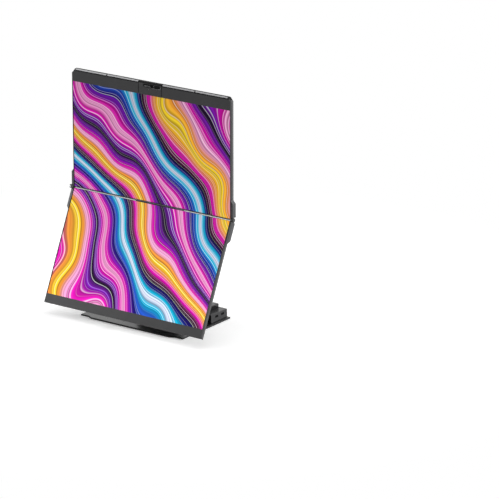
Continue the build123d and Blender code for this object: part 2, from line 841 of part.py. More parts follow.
chassis_back = tray_back + chassis_thick
upper_board_middle = mount_centre + mount_pitch / 2 + chassis_margin + board_width / 2
with BuildPart() as upper_chassis:
    slab(0, tray_back, chassis_thick, (-chassis_width / 2, mount_centre - mount_pitch / 2 - chassis_margin),
         (chassis_width / 2, upper_board_middle + board_width / 2))
    posts(0, chassis_back, cover_inside - chassis_back, mount_boss_radius, mount_spots)
    posts(0, mount_screw_tip, cover_inside - mount_screw_tip, mount_screw_radius + running_gap, mount_spots,
          Mode.SUBTRACT)
    posts(0, chassis_back, board_post_height, board_post_radius, board_posts(upper_board_middle))
save(upper_chassis, "upper_chassis")

save(circuit_board(0, chassis_back + board_post_height, upper_board_middle), "upper_board")

with BuildPart() as upper_cover:
    with BuildSketch(screen_plane(0, bezel_depth)):
        with BuildLine():
            Polyline(
                (-half_width, upper_low),
                (half_width, upper_low),
                (half_width, corner_low),
                (outer_half(cover_high), cover_high),
                (-outer_half(cover_high), cover_high),
                (-half_width, corner_low),
                close=True,
            )
        make_face()
    extrude(amount=-(panel_thick - bezel_depth))
    break_edges(upper_cover, 0)
    hollow_cover(0, upper_low, cover_high)
    posts(0, cover_inside, cover_wall, mount_screw_radius + fit_gap, mount_spots, Mode.SUBTRACT)
    posts(0, cover_inside, cover_wall, screw_radius + fit_gap, cover_screw_spots, Mode.SUBTRACT)
    posts(0, panel_thick - screw_head_height, screw_head_height, screw_head_radius + fit_gap,
          cover_screw_spots, Mode.SUBTRACT)
save(upper_cover, "upper_cover")

with BuildPart() as upper_cover_screws:
    posts(0, panel_thick - screw_head_height, screw_head_height, screw_head_radius, cover_screw_spots)
    posts(0, panel_thick - screw_length, screw_length, screw_radius, cover_screw_spots)
save(upper_cover_screws, "upper_cover_screws")

with BuildPart() as speakers:
    speaker_low = (band_low + cover_high - cover_rim - speaker_height) / 2
    for middle in (-speaker_x, speaker_x):
        slab(0, band_wall, speaker_depth, (middle - speaker_length / 2, speaker_low),
             (middle + speaker_length / 2, speaker_low + speaker_height))
save(speakers, "speakers")


# Ridge: one crowned section, with strips let into its top
def crown(depth):
    """Height of the ridge's outer face at a depth behind the front."""
    front_slope = (ridge_rise - ridge_shoulder) / ridge_bevel
    rear_slope = ridge_rear_drop / ridge_bevel
    from_front = ridge_top - front_slope * max(0.0, ridge_bevel - depth)
    from_rear = ridge_top - rear_slope * max(0.0, depth - (panel_thick - ridge_bevel))
    return min(from_front, from_rear)


def bar_across(points, low_x, high_x, mode=Mode.ADD):
    """Bar along X from a section given as depths and heights of the upper screen."""
    with BuildSketch(Plane.YZ.offset(low_x)) as section:
        with BuildLine():
            Polyline(*[place(0, depth, height) for depth, height in points], close=True)
        make_face()
    extrude(section.sketch, amount=high_x - low_x, mode=mode)


ridge_section = (
    (0, upper_high),
    (0, crown(0)),
    (ridge_bevel, ridge_top),
    (panel_thick - ridge_bevel, ridge_top),
    (panel_thick, crown(panel_thick)),
    (panel_thick, cover_high),
    (bezel_depth, cover_high),
    (bezel_depth, upper_high),
)
strip_depths = (strip_edge, ridge_bevel, panel_thick - ridge_bevel, panel_thick - strip_edge)
strip_section = [(depth, crown(depth)) for depth in strip_depths]
strip_section += [(depth, crown(depth) - strip_thick) for depth in reversed(strip_depths)]
strip_start = module_half + strip_margin
ridge_end = outer_half(upper_high) - ridge_end_slope
strip_end = ridge_end - strip_margin
strip_length = (strip_end - strip_start - strip_gap) / 2
strip_lows = (strip_start, strip_start + strip_length + strip_gap)
strip_spans = [sorted((side * low, side * (low + strip_length))) for low in strip_lows for side in (-1, 1)]

with BuildPart() as ridge_caps:
    for side in (-1, 1):
        low_x, high_x = sorted((side * (module_half + module_gap), side * half_width))
        bar_across(ridge_section, low_x, high_x)
        with BuildSketch(screen_plane(0, 0)):
            with BuildLine():
                Polyline(
                    (side * outer_half(cover_high), cover_high),
                    (side * half_width, cover_high),
                    (side * half_width, ridge_top),
                    (side * ridge_end, ridge_top),
                    (side * outer_half(upper_high), upper_high),
                    close=True,
                )
            make_face()
        extrude(amount=-panel_thick, mode=Mode.SUBTRACT)
    for low_x, high_x in strip_spans:
        bar_across(strip_section, low_x - fit_gap, high_x + fit_gap, Mode.SUBTRACT)
save(ridge_caps, "ridge_caps")

with BuildPart() as vent_strips:
    for low_x, high_x in strip_spans:
        bar_across(strip_section, low_x, high_x)
save(vent_strips, "vent_strips")

# Webcam
lens_spot = ((eye_x + lens_offset, eye_y),)
webcam_board_front = bezel_depth - webcam_board_thick
webcam_board_low = eye_y + lens_radius + fit_gap - webcam_board_height
with BuildPart() as webcam_housing:
    slab(0, 0, bezel_depth, (-module_half, module_low), (module_half, upper_high))
    bar_across(ridge_section, -module_half, module_half)
    pocket_half = webcam_board_width / 2 + fit_gap
    slab(0, webcam_pocket, bezel_depth - webcam_pocket, (-pocket_half, webcam_board_low - fit_gap),
         (pocket_half, webcam_board_low + webcam_board_height + fit_gap), Mode.SUBTRACT)
    with BuildSketch(screen_plane(0, 0)):
        with Locations((eye_x, eye_y)):
            SlotOverall(eye_length, eye_height)
    extrude(amount=-eye_depth, mode=Mode.SUBTRACT)
    posts(0, eye_depth, webcam_pocket - eye_depth, lens_radius + fit_gap, lens_spot, Mode.SUBTRACT)
save(webcam_housing, "webcam_housing")

with BuildPart() as webcam_lens:
    posts(0, eye_depth + fit_gap, webcam_board_front - eye_depth - fit_gap, lens_radius, lens_spot)
save(webcam_lens, "webcam_lens")

with BuildPart() as webcam_board:
    slab(0, webcam_board_front, webcam_board_thick, (-webcam_board_width / 2, webcam_board_low),
         (webcam_board_width / 2, webcam_board_low + webcam_board_height))
save(webcam_board, "webcam_board")

with BuildPart() as webcam_shutter:
    with BuildSketch(screen_plane(0, eye_depth - fit_gap - shutter_thick)):
        with Locations((eye_x - eye_length / 2 + fit_gap + shutter_length / 2, eye_y)):
            SlotOverall(shutter_length, eye_height - 2 * fit_gap)
    extrude(amount=-shutter_thick)
save(webcam_shutter, "webcam_shutter")


# Hinge
def leaves(lean, direction, length, knuckle, bore):
    """Plates on both sides of a screen, each with its knuckle on the hinge axis."""
    root = direction * (knuckle_radius + knuckle_room)
    web_low, web_high = sorted((0, root))
    web_depth = hinge_back + knuckle_radius - leaf_inset
    with BuildPart() as pair:
        for side in (-1, 1):
            with BuildSketch(screen_plane(lean, leaf_inset)):
                with BuildLine():
                    Polyline(
                        (side * half_width, root),
                        (side * leaf_face, root),
                        (side * leaf_face, direction * (length - leaf_bevel)),
                        (side * half_width, direction * length),
                        close=True,
                    )
                make_face()
            extrude(amount=-(panel_thick - 2 * leaf_inset))
            low_x, high_x = sorted((side * knuckle[0], side * knuckle[1]))
            slab(lean, leaf_inset, web_depth, (low_x, web_low), (high_x, web_high))
            barrel(low_x, high_x, knuckle_radius)
            barrel(low_x, high_x, bore, Mode.SUBTRACT)
    return pair


upper_knuckle = (half_width + seat_gap, washer_low - axial_gap)
lower_knuckle = (washer_high + axial_gap, leaf_face)
save(leaves(0, 1, upper_leaf_length, upper_knuckle, pin_radius + press_gap), "upper_leaves")
save(leaves(fold_rest, -1, lower_leaf_length, lower_knuckle, pin_radius + running_gap), "lower_leaves")

with BuildPart() as hinge_rod:
    barrel(head_face, clip_face, pin_radius)
save(hinge_rod, "hinge_rod")


def rings(left, right, radius):
    """Ring on the hinge rod at each end, each from one place along it to another."""
    with BuildPart() as pair:
        for near, far in (left, right):
            barrel(near, far, radius)
            barrel(near, far, pin_radius + press_gap, Mode.SUBTRACT)
    return pair


save(rings((-washer_high, -washer_low), (washer_low, washer_high), washer_radius), "hinge_washers")

# The rod has a head at one end and a thin clip at the other
save(rings((head_face, -rod_stop), (rod_stop, clip_face), knuckle_radius), "hinge_caps")

# Lower screen
recess_floor = panel_thick - recess_depth
recess_top = lower_low + recess_height
keyhole_y = -keyhole_drop
chin_high = lower_window_low - lcd_margin - seat_gap - band_wall
band_side = half_width - 2 * band_wall
stay_spots = lattice(half_width - stay_inset, lower_window_low + stay_inset, lower_window_high - stay_inset)
stay_spots += lattice(stay_inset, lower_window_low + stay_inset, lower_window_high - stay_inset)

with BuildPart() as lower_bezel:
    slab(fold_rest, 0, bezel_depth, (-half_width, lower_low), (half_width, lower_high))
    ease_seam(lower_bezel, fold_rest, 1)
    cut_window(fold_rest, lower_window_low, lower_window_high, lower_lcd)
    slab(fold_rest, band_wall, bezel_depth - band_wall, (-band_side, lower_low + band_wall),
         (band_side, chin_high), Mode.SUBTRACT)
save(lower_bezel, "lower_bezel")

save(layer(fold_rest, lcd_front, lcd_thick, lower_lcd), "lower_lcd")
save(layer(fold_rest, guide_front, guide_thick, lower_lcd), "lower_light_guide")

lower_tray = layer(fold_rest, tray_front, tray_thick, lower_lcd)
with lower_tray:
    posts(fold_rest, tray_back, board_post_height, board_post_radius, board_posts(-lower_board_drop))
save(lower_tray, "lower_tray")

save(circuit_board(fold_rest, tray_back + board_post_height, -lower_board_drop), "lower_board")


def downward_mouth(x):
    """Mouth of a socket in the top wall of the port recess."""
    plane = screen_plane(fold_rest, (recess_floor + cover_inside) / 2)
    mouth = plane.origin + plane.x_dir * x + plane.y_dir * recess_top
    return Plane(mouth, x_dir=(1, 0, 0), z_dir=-plane.y_dir)


lower_mouths = [downward_mouth(side * lower_port_x) for side in (-1, 1)]
with BuildPart() as lower_cover:
    slab(fold_rest, bezel_depth, panel_thick - bezel_depth, (-half_width, lower_low),
         (half_width, lower_high))
    break_edges(lower_cover, fold_rest)
    hollow_cover(fold_rest, lower_low, lower_high)
    posts(fold_rest, tray_back, cover_inside - tray_back, screw_boss_radius, stay_spots)
    box_half = recess_half + cover_rim
    slab(fold_rest, recess_floor - recess_wall, panel_thick - recess_floor + recess_wall - cover_wall / 2,
         (-box_half, lower_low + cover_rim / 2), (box_half, recess_top + cover_rim))
    with BuildSketch(screen_plane(fold_rest, panel_thick)):
        with Locations((0, recess_top)):
            RectangleRounded(2 * recess_half, 2 * recess_height, recess_corner, align=(CENTRE, Align.MAX))
    extrude(amount=recess_depth, mode=Mode.SUBTRACT)
    for side in (-1, 1):
        with BuildSketch(screen_plane(fold_rest, panel_thick)):
            with Locations((side * keyhole_x, keyhole_y)):
                Circle(keyhole_radius)
            with Locations((side * keyhole_x, keyhole_y + keyhole_rise)):
                Circle(keyhole_tip_radius)
            make_hull()
        extrude(amount=cover_wall, mode=Mode.SUBTRACT)
    for mouth in lower_mouths:
        with BuildSketch(mouth):
            Rectangle(usb_c_width + 2 * port_gap, usb_c_height + 2 * port_gap)
        extrude(amount=-cover_rim, mode=Mode.SUBTRACT)
save(lower_cover, "lower_cover")

lower_socket_mouths = [mouth.offset(-port_recess) for mouth in lower_mouths]
save(sockets(lower_socket_mouths, usb_c_width, usb_c_height, usb_c_length, shell_wall), "lower_usb_sockets")

# Control housing behind the middle of the bottom edge, level underneath at rest, with the power button
control_corner = place(fold_rest, panel_thick, lower_low)
control_rear = control_corner[0] + control_depth
control_top = control_corner[1] + control_height
button_y = control_corner[0] + button_back
pocket_top = control_corner[1] + button_body + button_travel + axial_gap + switch_height
with BuildPart() as control_housing:
    with BuildSketch(Plane.YZ.offset(-control_width / 2)):
        with BuildLine():
            Polyline(
                place(fold_rest, recess_floor, lower_low),
                control_corner,
                (control_rear, control_corner[1]),
                (control_rear, control_top),
                place(fold_rest, panel_thick, lower_low + control_height / cos(radians(fold_rest))),
                place(fold_rest, panel_thick, recess_top - fit_gap),
                place(fold_rest, recess_floor, recess_top - fit_gap),
                close=True,
            )
        make_face()
    extrude(amount=control_width)
    upright(0, button_y, control_corner[1], pocket_top, button_radius + fit_gap, Mode.SUBTRACT)
save(control_housing, "control_housing")

with BuildPart() as power_switch:
    upright(0, button_y, pocket_top - switch_height, pocket_top, switch_radius)
save(power_switch, "power_switch")

with BuildPart() as power_button:
    upright(0, button_y, control_corner[1] - button_proud, control_corner[1] + button_body, button_radius)
save(power_button, "power_button")
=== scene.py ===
import json
import math

import bmesh
import bpy
from bpy.props import FloatProperty, FloatVectorProperty, IntProperty, PointerProperty
from mathutils import Matrix, Vector


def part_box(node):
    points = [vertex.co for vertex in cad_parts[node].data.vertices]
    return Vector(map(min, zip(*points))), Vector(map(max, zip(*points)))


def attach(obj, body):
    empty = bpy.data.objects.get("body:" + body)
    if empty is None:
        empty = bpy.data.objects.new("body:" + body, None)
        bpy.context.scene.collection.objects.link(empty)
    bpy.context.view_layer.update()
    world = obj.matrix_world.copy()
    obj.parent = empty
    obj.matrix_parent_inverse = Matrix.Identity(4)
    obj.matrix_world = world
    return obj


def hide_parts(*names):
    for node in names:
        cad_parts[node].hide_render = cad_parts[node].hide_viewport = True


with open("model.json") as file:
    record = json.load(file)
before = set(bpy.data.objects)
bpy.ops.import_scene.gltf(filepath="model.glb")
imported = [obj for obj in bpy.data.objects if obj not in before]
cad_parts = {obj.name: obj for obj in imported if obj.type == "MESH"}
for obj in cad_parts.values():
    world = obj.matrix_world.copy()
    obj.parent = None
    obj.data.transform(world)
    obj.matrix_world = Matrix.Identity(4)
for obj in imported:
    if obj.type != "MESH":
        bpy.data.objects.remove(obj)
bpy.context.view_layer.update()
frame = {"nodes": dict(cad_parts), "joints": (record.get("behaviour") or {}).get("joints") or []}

bl_info = {
    "name": "Stacked Monitor Dresser",
    "version": (1, 0, 0),
    "blender": (4, 5, 0),
    "location": "View3D > Sidebar > Monitor",
    "description": "Finishes and fine detail for a stacked monitor",
    "category": "Object",
}
MM = 0.001
WHITE = (1, 1, 1, 1)
ACROSS = Vector((1, 0, 0))
UPPER, LOWER, BASE, COLUMN = "upper_screen", "lower_screen", "base", "column"

# Screens: hinge axis, its depth behind their fronts, their thickness and their lean at rest
HINGE = next(Vector(joint["pos_m"]) for joint in frame["joints"] if joint["name"] == "fold")
HINGE_BACK = 3.3
PANEL_THICK = 15.0
UPRIGHT, LEANING = 0.0, math.radians(25.0)

# Faces of the hub that hold the sockets
HUB_REAR, HUB_END = 84.8, 165.8


def linear(red, green, blue):
    """Colour from screen values of 0 to 255, as linear RGBA."""
    values = [v / 255 for v in (red, green, blue)]
    return tuple(v / 12.92 if v <= 0.04045 else ((v + 0.055) / 1.055) ** 2.4 for v in values) + (1.0,)


def colour(label, about, red, green, blue):
    return FloatVectorProperty(name=label, description=about, subtype="COLOR", size=4, min=0.0, max=1.0,
                               default=linear(red, green, blue))


def number(label, about, default, **kind):
    return FloatProperty(name=label, description=about, min=0.0, default=default, **kind)


def length(label, about, millimetres):
    return number(label, about, millimetres * MM, unit="LENGTH")


class FinishSettings(bpy.types.PropertyGroup):
    """Colours of the monitor's finishes."""
    bezel: colour("Bezel", "Moulded frame round the pictures", 30, 30, 32)
    rear: colour("Rear cover", "Moulded back of the upper screen", 92, 92, 93)
    # The lower cover's tone is a darker copy of the rear plastic: painted shade on the lower screen's back
    # and on the column's cap
    lower: colour("Lower cover", "Moulded back of the lower screen", 32, 32, 33)
    column: colour("Column", "Satin paint of column and plinth", 58, 58, 59)
    plate: colour("Plate", "Gloss paint of base and mount", 10, 10, 11)
    hub: colour("Hub", "Moulded hub shell", 43, 43, 44)
    block: colour("Hub block", "Gloss top of the hub blocks", 11, 11, 12)
    leaf: colour("Hinge leaf", "Satin paint of the hinge leaves", 76, 76, 78)
    strip: colour("Vent strip", "Light strips in the top ridge", 176, 176, 178)
    steel: colour("Steel", "Bare steel", 178, 180, 183)
    rod: colour("Rod", "Polished hinge rod", 128, 129, 132)
    gold: colour("Contact", "Gold of the contacts", 226, 178, 84)
    rubber: colour("Rubber", "Pads under the base", 30, 30, 30)
    board: colour("Board", "Solder mask", 22, 92, 52)
    bronze: colour("Bronze", "Bushes and washers", 176, 140, 78)
    alloy: colour("Alloy", "Machined aluminium", 190, 191, 194)
    acrylic: colour("Acrylic", "Light guides", 236, 238, 242)
    grain: length("Grain", "Size of the moulded grain", 0.7)


class PictureSettings(bpy.types.PropertyGroup):
    """Colours of the flowing ribbons that the screens show."""
    night: colour("Night", "Darkest ribbon", 10, 2, 22)
    plum: colour("Plum", "Dark red ribbon", 110, 2, 84)
    magenta: colour("Magenta", "Strong pink ribbon", 236, 14, 190)
    rose: colour("Rose", "Light pink ribbon", 250, 178, 222)
    violet: colour("Violet", "Purple ribbon", 124, 18, 178)
    indigo: colour("Indigo", "Dark blue ribbon", 26, 6, 128)
    blue: colour("Blue", "Mid blue ribbon", 36, 92, 206)
    cyan: colour("Cyan", "Bright blue ribbon", 4, 196, 232)
    ice: colour("Ice", "Palest ribbon", 226, 236, 252)
    amber: colour("Amber", "Orange ribbon", 250, 160, 58)
    sun: colour("Sun", "Yellow ribbon", 255, 226, 48)
    glow: number("Glow", "Light that the pictures give off", 1.0)


class DetailSettings(bpy.types.PropertyGroup):
    """Sizes of the fine detail."""
    soft_edge: length("Soft edge", "Width of the rounding of edges", 0.5)
    slot_pitch: length("Slot pitch", "Distance between vent slots", 2.55)
    slot_width: length("Slot width", "Width of a vent slot", 2.05)
    slot_depth: length("Slot depth", "Depth of a vent slot", 0.9)
    turned_steps: IntProperty(name="Turned steps", description="Sides of a turned piece", min=12, default=40)


class StageSettings(bpy.types.PropertyGroup):
    """Camera, floor and light."""
    lens: number("Lens", "Focal length in millimetres", 247.3, subtype="DISTANCE_CAMERA")
    camera: FloatVectorProperty(name="Camera", description="Place of the camera", subtype="TRANSLATION",
                                default=(5.4694, -7.1963, 3.0711))
    look: FloatVectorProperty(name="Look", description="Direction of the view", subtype="DIRECTION",
                              default=(-0.5556, 0.7740, -0.3037))
    floor: colour("Floor", "Pale floor", 246, 246, 246)
    sky: number("Sky", "Even light from all round", 0.06)
    lamp: number("Lamp", "Softboxes, in watts per square metre", 8.5)


SETTINGS = {
    "monitor_finish": FinishSettings,
    "monitor_picture": PictureSettings,
    "monitor_detail": DetailSettings,
    "monitor_stage": StageSettings,
}


def chosen(group):
    return getattr(bpy.context.scene, "monitor_" + group)


# Places on the screens in millimetres: across, up from the hinge axis, and behind the front
def upward(lean):
    return Vector((0, math.sin(lean), math.cos(lean)))


def outward(lean):
    return Vector((0, -math.cos(lean), math.sin(lean)))


def screen_spot(lean, across, height, depth):
    """Point of a screen in the shared frame, in metres."""
    shift = ACROSS * across + upward(lean) * height + outward(lean) * (HINGE_BACK - depth)
    return HINGE + shift * MM


def facing(point, out, right=ACROSS):
    """Matrix that puts a mesh's XY plane on a surface at a point, with its Z pointing out."""
    out, right = Vector(out).normalized(), Vector(right).normalized()
    turn = Matrix((right, out.cross(right), out)).transposed().to_4x4()
    return Matrix.Translation(point) @ turn


# Meshes
def mesh_of(name, shape):
    mesh = bpy.data.meshes.new(name)
    shape.to_mesh(mesh)
    shape.free()
    return mesh


def gather(copies):
    """One bmesh from meshes that matrices put in place."""
    shape = bmesh.new()
    for mesh, matrix in copies:
        placed = mesh.copy()
        placed.transform(matrix)
        shape.from_mesh(placed)
        bpy.data.meshes.remove(placed)
    return shape


def put(name, data):
    """Adds an object to the scene."""
    made = bpy.data.objects.new(name, data)
    bpy.context.scene.collection.objects.link(made)
    return made


def piece(name, copies, finish, body, smooth=None, replaced=None, lining=None):
    """Makes an object of placed meshes that rides on a CAD body; faces of index 1 take the lining."""
    shape = gather(copies)
    bmesh.ops.recalc_face_normals(shape, faces=shape.faces)
    mesh = mesh_of(name, shape)
    if smooth:
        mesh.shade_smooth()
        mesh.set_sharp_from_angle(angle=math.radians(smooth))
    mesh.materials.append(FINISHES[finish])
    if lining:
        mesh.materials.append(FINISHES[lining])
    made = put(name, mesh)
    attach(made, body)
    if replaced:
        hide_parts(replaced)


def ring_points(radius, steps):
    turn = 2 * math.pi / steps
    return [(radius * math.cos(i * turn), radius * math.sin(i * turn)) for i in range(steps)]


def pill_points(long, tall, steps=12):
    """Outline of a bar with round ends, in millimetres."""
    radius, reach = tall / 2, (long - tall) / 2
    right = [(reach + radius * math.sin(math.pi * i / steps), -radius * math.cos(math.pi * i / steps))
             for i in range(steps + 1)]
    return right + [(-x, -y) for x, y in right]


def rounded_points(long, tall, radius, steps=6):
    """Outline of a rectangle with rounded corners, in millimetres."""
    points = []
    for corner, (sx, sy) in enumerate(((1, 1), (-1, 1), (-1, -1), (1, -1))):
        middle = (sx * (long / 2 - radius), sy * (tall / 2 - radius))
        for i in range(steps + 1):
            angle = math.pi / 2 * (corner + i / steps)
            points.append((middle[0] + radius * math.cos(angle), middle[1] + radius * math.sin(angle)))
    return points


def cut_plate(outlines, thick, soft=0.0):
    """Mesh of a flat plate with holes, standing on z 0, from outlines in millimetres."""
    curve = bpy.data.curves.new("outline", "CURVE")
    curve.dimensions = "2D"
    curve.fill_mode = "BOTH"
    curve.extrude = (thick / 2 - soft) * MM
    curve.bevel_depth = soft * MM
    curve.bevel_resolution = 2
    curve.offset = -soft * MM
    for outline in outlines:
        spline = curve.splines.new("POLY")
        spline.points.add(len(outline) - 1)
        for point, (x, y) in zip(spline.points, outline):
            point.co = (x * MM, y * MM, 0, 1)
        spline.use_cyclic_u = True
    holder = bpy.data.objects.new("outline", curve)
    mesh = bpy.data.meshes.new_from_object(holder)
    bpy.data.objects.remove(holder)
    bpy.data.curves.remove(curve)
    mesh.transform(Matrix.Translation((0, 0, thick / 2 * MM)))
    return mesh


def turned(profile, closed=False):
    """Mesh of a turned piece about Z, from radii and heights in millimetres."""
    steps = chosen("detail").turned_steps
    shape = bmesh.new()
    rings = []
    for radius, height in profile:
        if radius == 0:
            rings.append([shape.verts.new((0, 0, height * MM))] * steps)
        else:
            rings.append([shape.verts.new((x, y, height * MM)) for x, y in ring_points(radius * MM, steps)])
    if closed:
        rings.append(rings[0])
    for low, high in zip(rings, rings[1:]):
        for i in range(steps):
            j = (i + 1) % steps
            corners = dict.fromkeys((low[i], low[j], high[j], high[i]))
            shape.faces.new(list(corners))
    bmesh.ops.recalc_face_normals(shape, faces=shape.faces)
    return mesh_of("turned", shape)


# Shader nodes
def fill(socket, value):
    """Gives a socket a value, or links it to another node's output."""
    if isinstance(value, bpy.types.NodeSocket):
        socket.id_data.links.new(value, socket)
    else:
        socket.default_value = value


def add(tree, kind, inputs=None, **settings):
    """Adds a shader node; inputs name its sockets and what fills them."""
    node = tree.nodes.new("ShaderNode" + kind)
    for key, value in settings.items():
        setattr(node, key, value)
    for key, value in (inputs or {}).items():
        fill(node.inputs[key], value)
    return node


def calc(tree, operation, *values):
    return add(tree, "Math", dict(enumerate(values)), operation=operation).outputs[0]


def vector(tree, operation, *values, output=0):
    return add(tree, "VectorMath", dict(enumerate(values)), operation=operation).outputs[output]


def remap(tree, value, low, high, first=0.0, last=1.0, **settings):
    """Value mapped from one range to another, and held at the ends."""
    sockets = dict(enumerate((value, low, high, first, last)))
    return add(tree, "MapRange", sockets, **settings).outputs[0]


def choose(tree, mask, off, on):
    return remap(tree, mask, 0.0, 1.0, off, on)


def blend(tree, share, first, second, blend_type="MIX"):
    mix = add(tree, "Mix", {0: share, 6: first, 7: second}, data_type="RGBA", blend_type=blend_type)
    return mix.outputs[2]


def feed(shader, **sockets):
    """Fills sockets of a shader; underscores in their names stand for spaces."""
    for key, value in sockets.items():
        fill(shader.inputs[key.replace("_", " ")], value)


def as_material(dress):
    """Turns a function that dresses a shader into one that makes a named material."""
    def make(name, *values, **options):
        material = bpy.data.materials.new(name)
        material.use_nodes = True
        tree = material.node_tree
        dress(tree, tree.nodes["Principled BSDF"], *values, **options)
        return material

    return make


def shade(tint, factor):
    return tuple(min(1.0, v * factor) for v in tint[:3]) + (1.0,)


def own_place(tree):
    return add(tree, "TexCoord").outputs["Object"]


def cloud(tree, scale, detail=2.0, stretch=None):
    """Noise over a piece, with a scale per metre."""
    place = own_place(tree)
    if stretch:
        place = vector(tree, "MULTIPLY", place, stretch)
    return add(tree, "TexNoise", {"Vector": place, "Scale": scale, "Detail": detail}).outputs["Fac"]


def cells(tree, scale, randomness=1.0, **settings):
    """Distance to the nearest of many points in a piece, with a scale per metre."""
    sockets = {"Vector": own_place(tree), "Scale": scale, "Randomness": randomness}
    return add(tree, "TexVoronoi", sockets, **settings).outputs["Distance"]


def around(tree, noise, middle, below, above):
    """Value that strays below and above its middle with a noise."""
    return remap(tree, noise, *NOISE_MIDDLE, middle - below, middle + above)


def mottled(tree, noise, tint, low, high):
    """Tint that varies with a noise, from one share of its brightness to another."""
    return blend(tree, noise, shade(tint, low), shade(tint, high))


def rough_bump(shader, value, height, strength):
    sockets = {"Height": value, "Distance": height * MM, "Strength": strength}
    feed(shader, Normal=add(shader.id_data, "Bump", sockets).outputs["Normal"])


def faces_along(tree, axis):
    """1 on faces that look along one axis of the piece, and 0 elsewhere."""
    normal = add(tree, "TexCoord").outputs["Normal"]
    share = add(tree, "SeparateXYZ", {0: normal}).outputs[axis]
    return calc(tree, "GREATER_THAN", calc(tree, "ABSOLUTE", share), LOOK_SHARE)


def deeper(tree, depth):
    """1 on what lies deeper in the upper screen than a depth, and 0 elsewhere."""
    back = add(tree, "SeparateXYZ", {0: own_place(tree)}).outputs[1]
    return calc(tree, "GREATER_THAN", back, screen_spot(UPRIGHT, 0.0, 0.0, depth).y)


def near_hinge(tree, reach):
    """1 within a distance of the hinge axis, and 0 elsewhere."""
    local = vector(tree, "SUBTRACT", own_place(tree), HINGE)
    beside = vector(tree, "MULTIPLY", local, (0, 1, 1))
    return calc(tree, "LESS_THAN", vector(tree, "LENGTH", beside, output="Value"), reach)


# Finishes: the part of a noise that counts, noises as scale and detail, and plain values
NOISE_MIDDLE = (0.3, 0.7)
FLOW, SATIN, PATCH, SMEAR, PEEL = (9.0, 3.0), (60.0, 4.0), (14.0, 2.0), (45.0, 3.0), (420.0, 1.0)
LOOK_SHARE = 0.7
PLAIN_SHINE, END_SHINE, MATT = 0.5, 0.08, 0.5

# Painted shade at the hinge: its black, and its reach from the axis on covers and leaves
SEAM_SHADE = linear(8, 8, 9)
SEAM_SHADE_REACH, KNUCKLE_SHADE_REACH = 8.3 * MM, 6.0 * MM

# Webcam module: the depth behind which it is darkened as painted shade, and the tone and shine of that
# painted shade, which the window plate takes too
MODULE_SHADE_DEPTH = 0.35
MODULE_SHADE, MODULE_SHADE_SHINE = linear(40, 40, 41), 0.03


@as_material
def moulded(tree, shader, tint, rough=0.36, shine=PLAIN_SHINE, sides=None, seam=None, face=None):
    """Moulded plastic with a fine spark-eroded grain and faint flow clouds.

    Its sides may take a paler tone as painted light, its edge at the hinge may be painted black as painted
    shade, and what lies behind its face may be dark and dull as painted shade.
    """
    flow = cloud(tree, *FLOW)
    colour = mottled(tree, flow, tint, low=0.93, high=1.07)
    # Painted light: the sides take a paler tone
    if sides:
        side = mottled(tree, flow, sides, low=0.93, high=1.07)
        colour = blend(tree, faces_along(tree, 0), colour, side)
    # Painted shade: black near the hinge axis
    if seam:
        colour = blend(tree, near_hinge(tree, seam), colour, SEAM_SHADE)
    # Painted shade: dark and dull behind the module's face
    if face:
        module_shade = deeper(tree, face)
        colour = blend(tree, module_shade, colour, MODULE_SHADE)
        shine = choose(tree, module_shade, shine, MODULE_SHADE_SHINE)
    gloss = around(tree, cloud(tree, *SATIN), rough, below=0.03, above=0.03)
    feed(shader, Base_Color=colour, Roughness=gloss, Specular_IOR_Level=shine)
    grain = cloud(tree, 1 / chosen("finish").grain, detail=1.0)
    rough_bump(shader, grain, height=0.06, strength=0.35)


@as_material
def painted(tree, shader, tint, rough, seam=None):
    """Satin paint on metal with a faint orange peel, and painted shade in black near the hinge axis if a
    distance is given.
    """
    colour = mottled(tree, cloud(tree, *PATCH), tint, low=0.95, high=1.05)
    # Painted shade: black near the hinge axis
    if seam:
        colour = blend(tree, near_hinge(tree, seam), colour, SEAM_SHADE)
    gloss = around(tree, cloud(tree, *SMEAR), rough, below=0.04, above=0.06)
    feed(shader, Base_Color=colour, Roughness=gloss)
    rough_bump(shader, cloud(tree, *PEEL), height=0.05, strength=0.25)


@as_material
def plate_paint(tree, shader, tint, edge, rough):
    """Gloss paint on a plate whose cut edges are satin and paler, the paler tone being painted light."""
    level = faces_along(tree, 2)
    face = mottled(tree, cloud(tree, *PATCH), tint, low=0.9, high=1.1)
    gloss = around(tree, cloud(tree, *SMEAR), rough, below=0.02, above=0.03)
    feed(shader, Base_Color=blend(tree, level, edge, face),
         Roughness=choose(tree, level, off=MATT, on=gloss),
         Specular_IOR_Level=choose(tree, level, off=0.15, on=0.85))
    rough_bump(shader, cloud(tree, *PEEL), height=0.05, strength=0.15)


@as_material
def polished_plastic(tree, shader, tint, rough=0.16, ends=None):
    """Gloss plastic with faint wiping marks, its ends matt where they take a tone of their own, a paler tone
    of painted light.
    """
    colour = mottled(tree, cloud(tree, scale=30.0), tint, low=0.9, high=1.1)
    wiping = cloud(tree, scale=90.0, detail=4.0, stretch=(1, 6, 1))
    gloss = around(tree, wiping, rough, below=0.02, above=0.04)
    # Painted light: the ends take a paler, matt tone
    if ends:
        at_end = faces_along(tree, 0)
        colour = blend(tree, at_end, colour, ends)
        gloss = choose(tree, at_end, off=gloss, on=MATT)
        feed(shader, Specular_IOR_Level=choose(tree, at_end, off=PLAIN_SHINE, on=END_SHINE))
    feed(shader, Base_Color=colour, Roughness=gloss)


@as_material
def brushed(tree, shader, tint, stretch, rough=0.32):
    """Metal with fine lines along one direction."""
    scratches = cloud(tree, scale=260.0, detail=3.0, stretch=stretch)
    feed(shader, Metallic=1.0, Base_Color=mottled(tree, scratches, tint, low=0.86, high=1.06),
         Roughness=around(tree, scratches, rough, below=0.08, above=0.1))
    rough_bump(shader, scratches, height=0.03, strength=0.3)


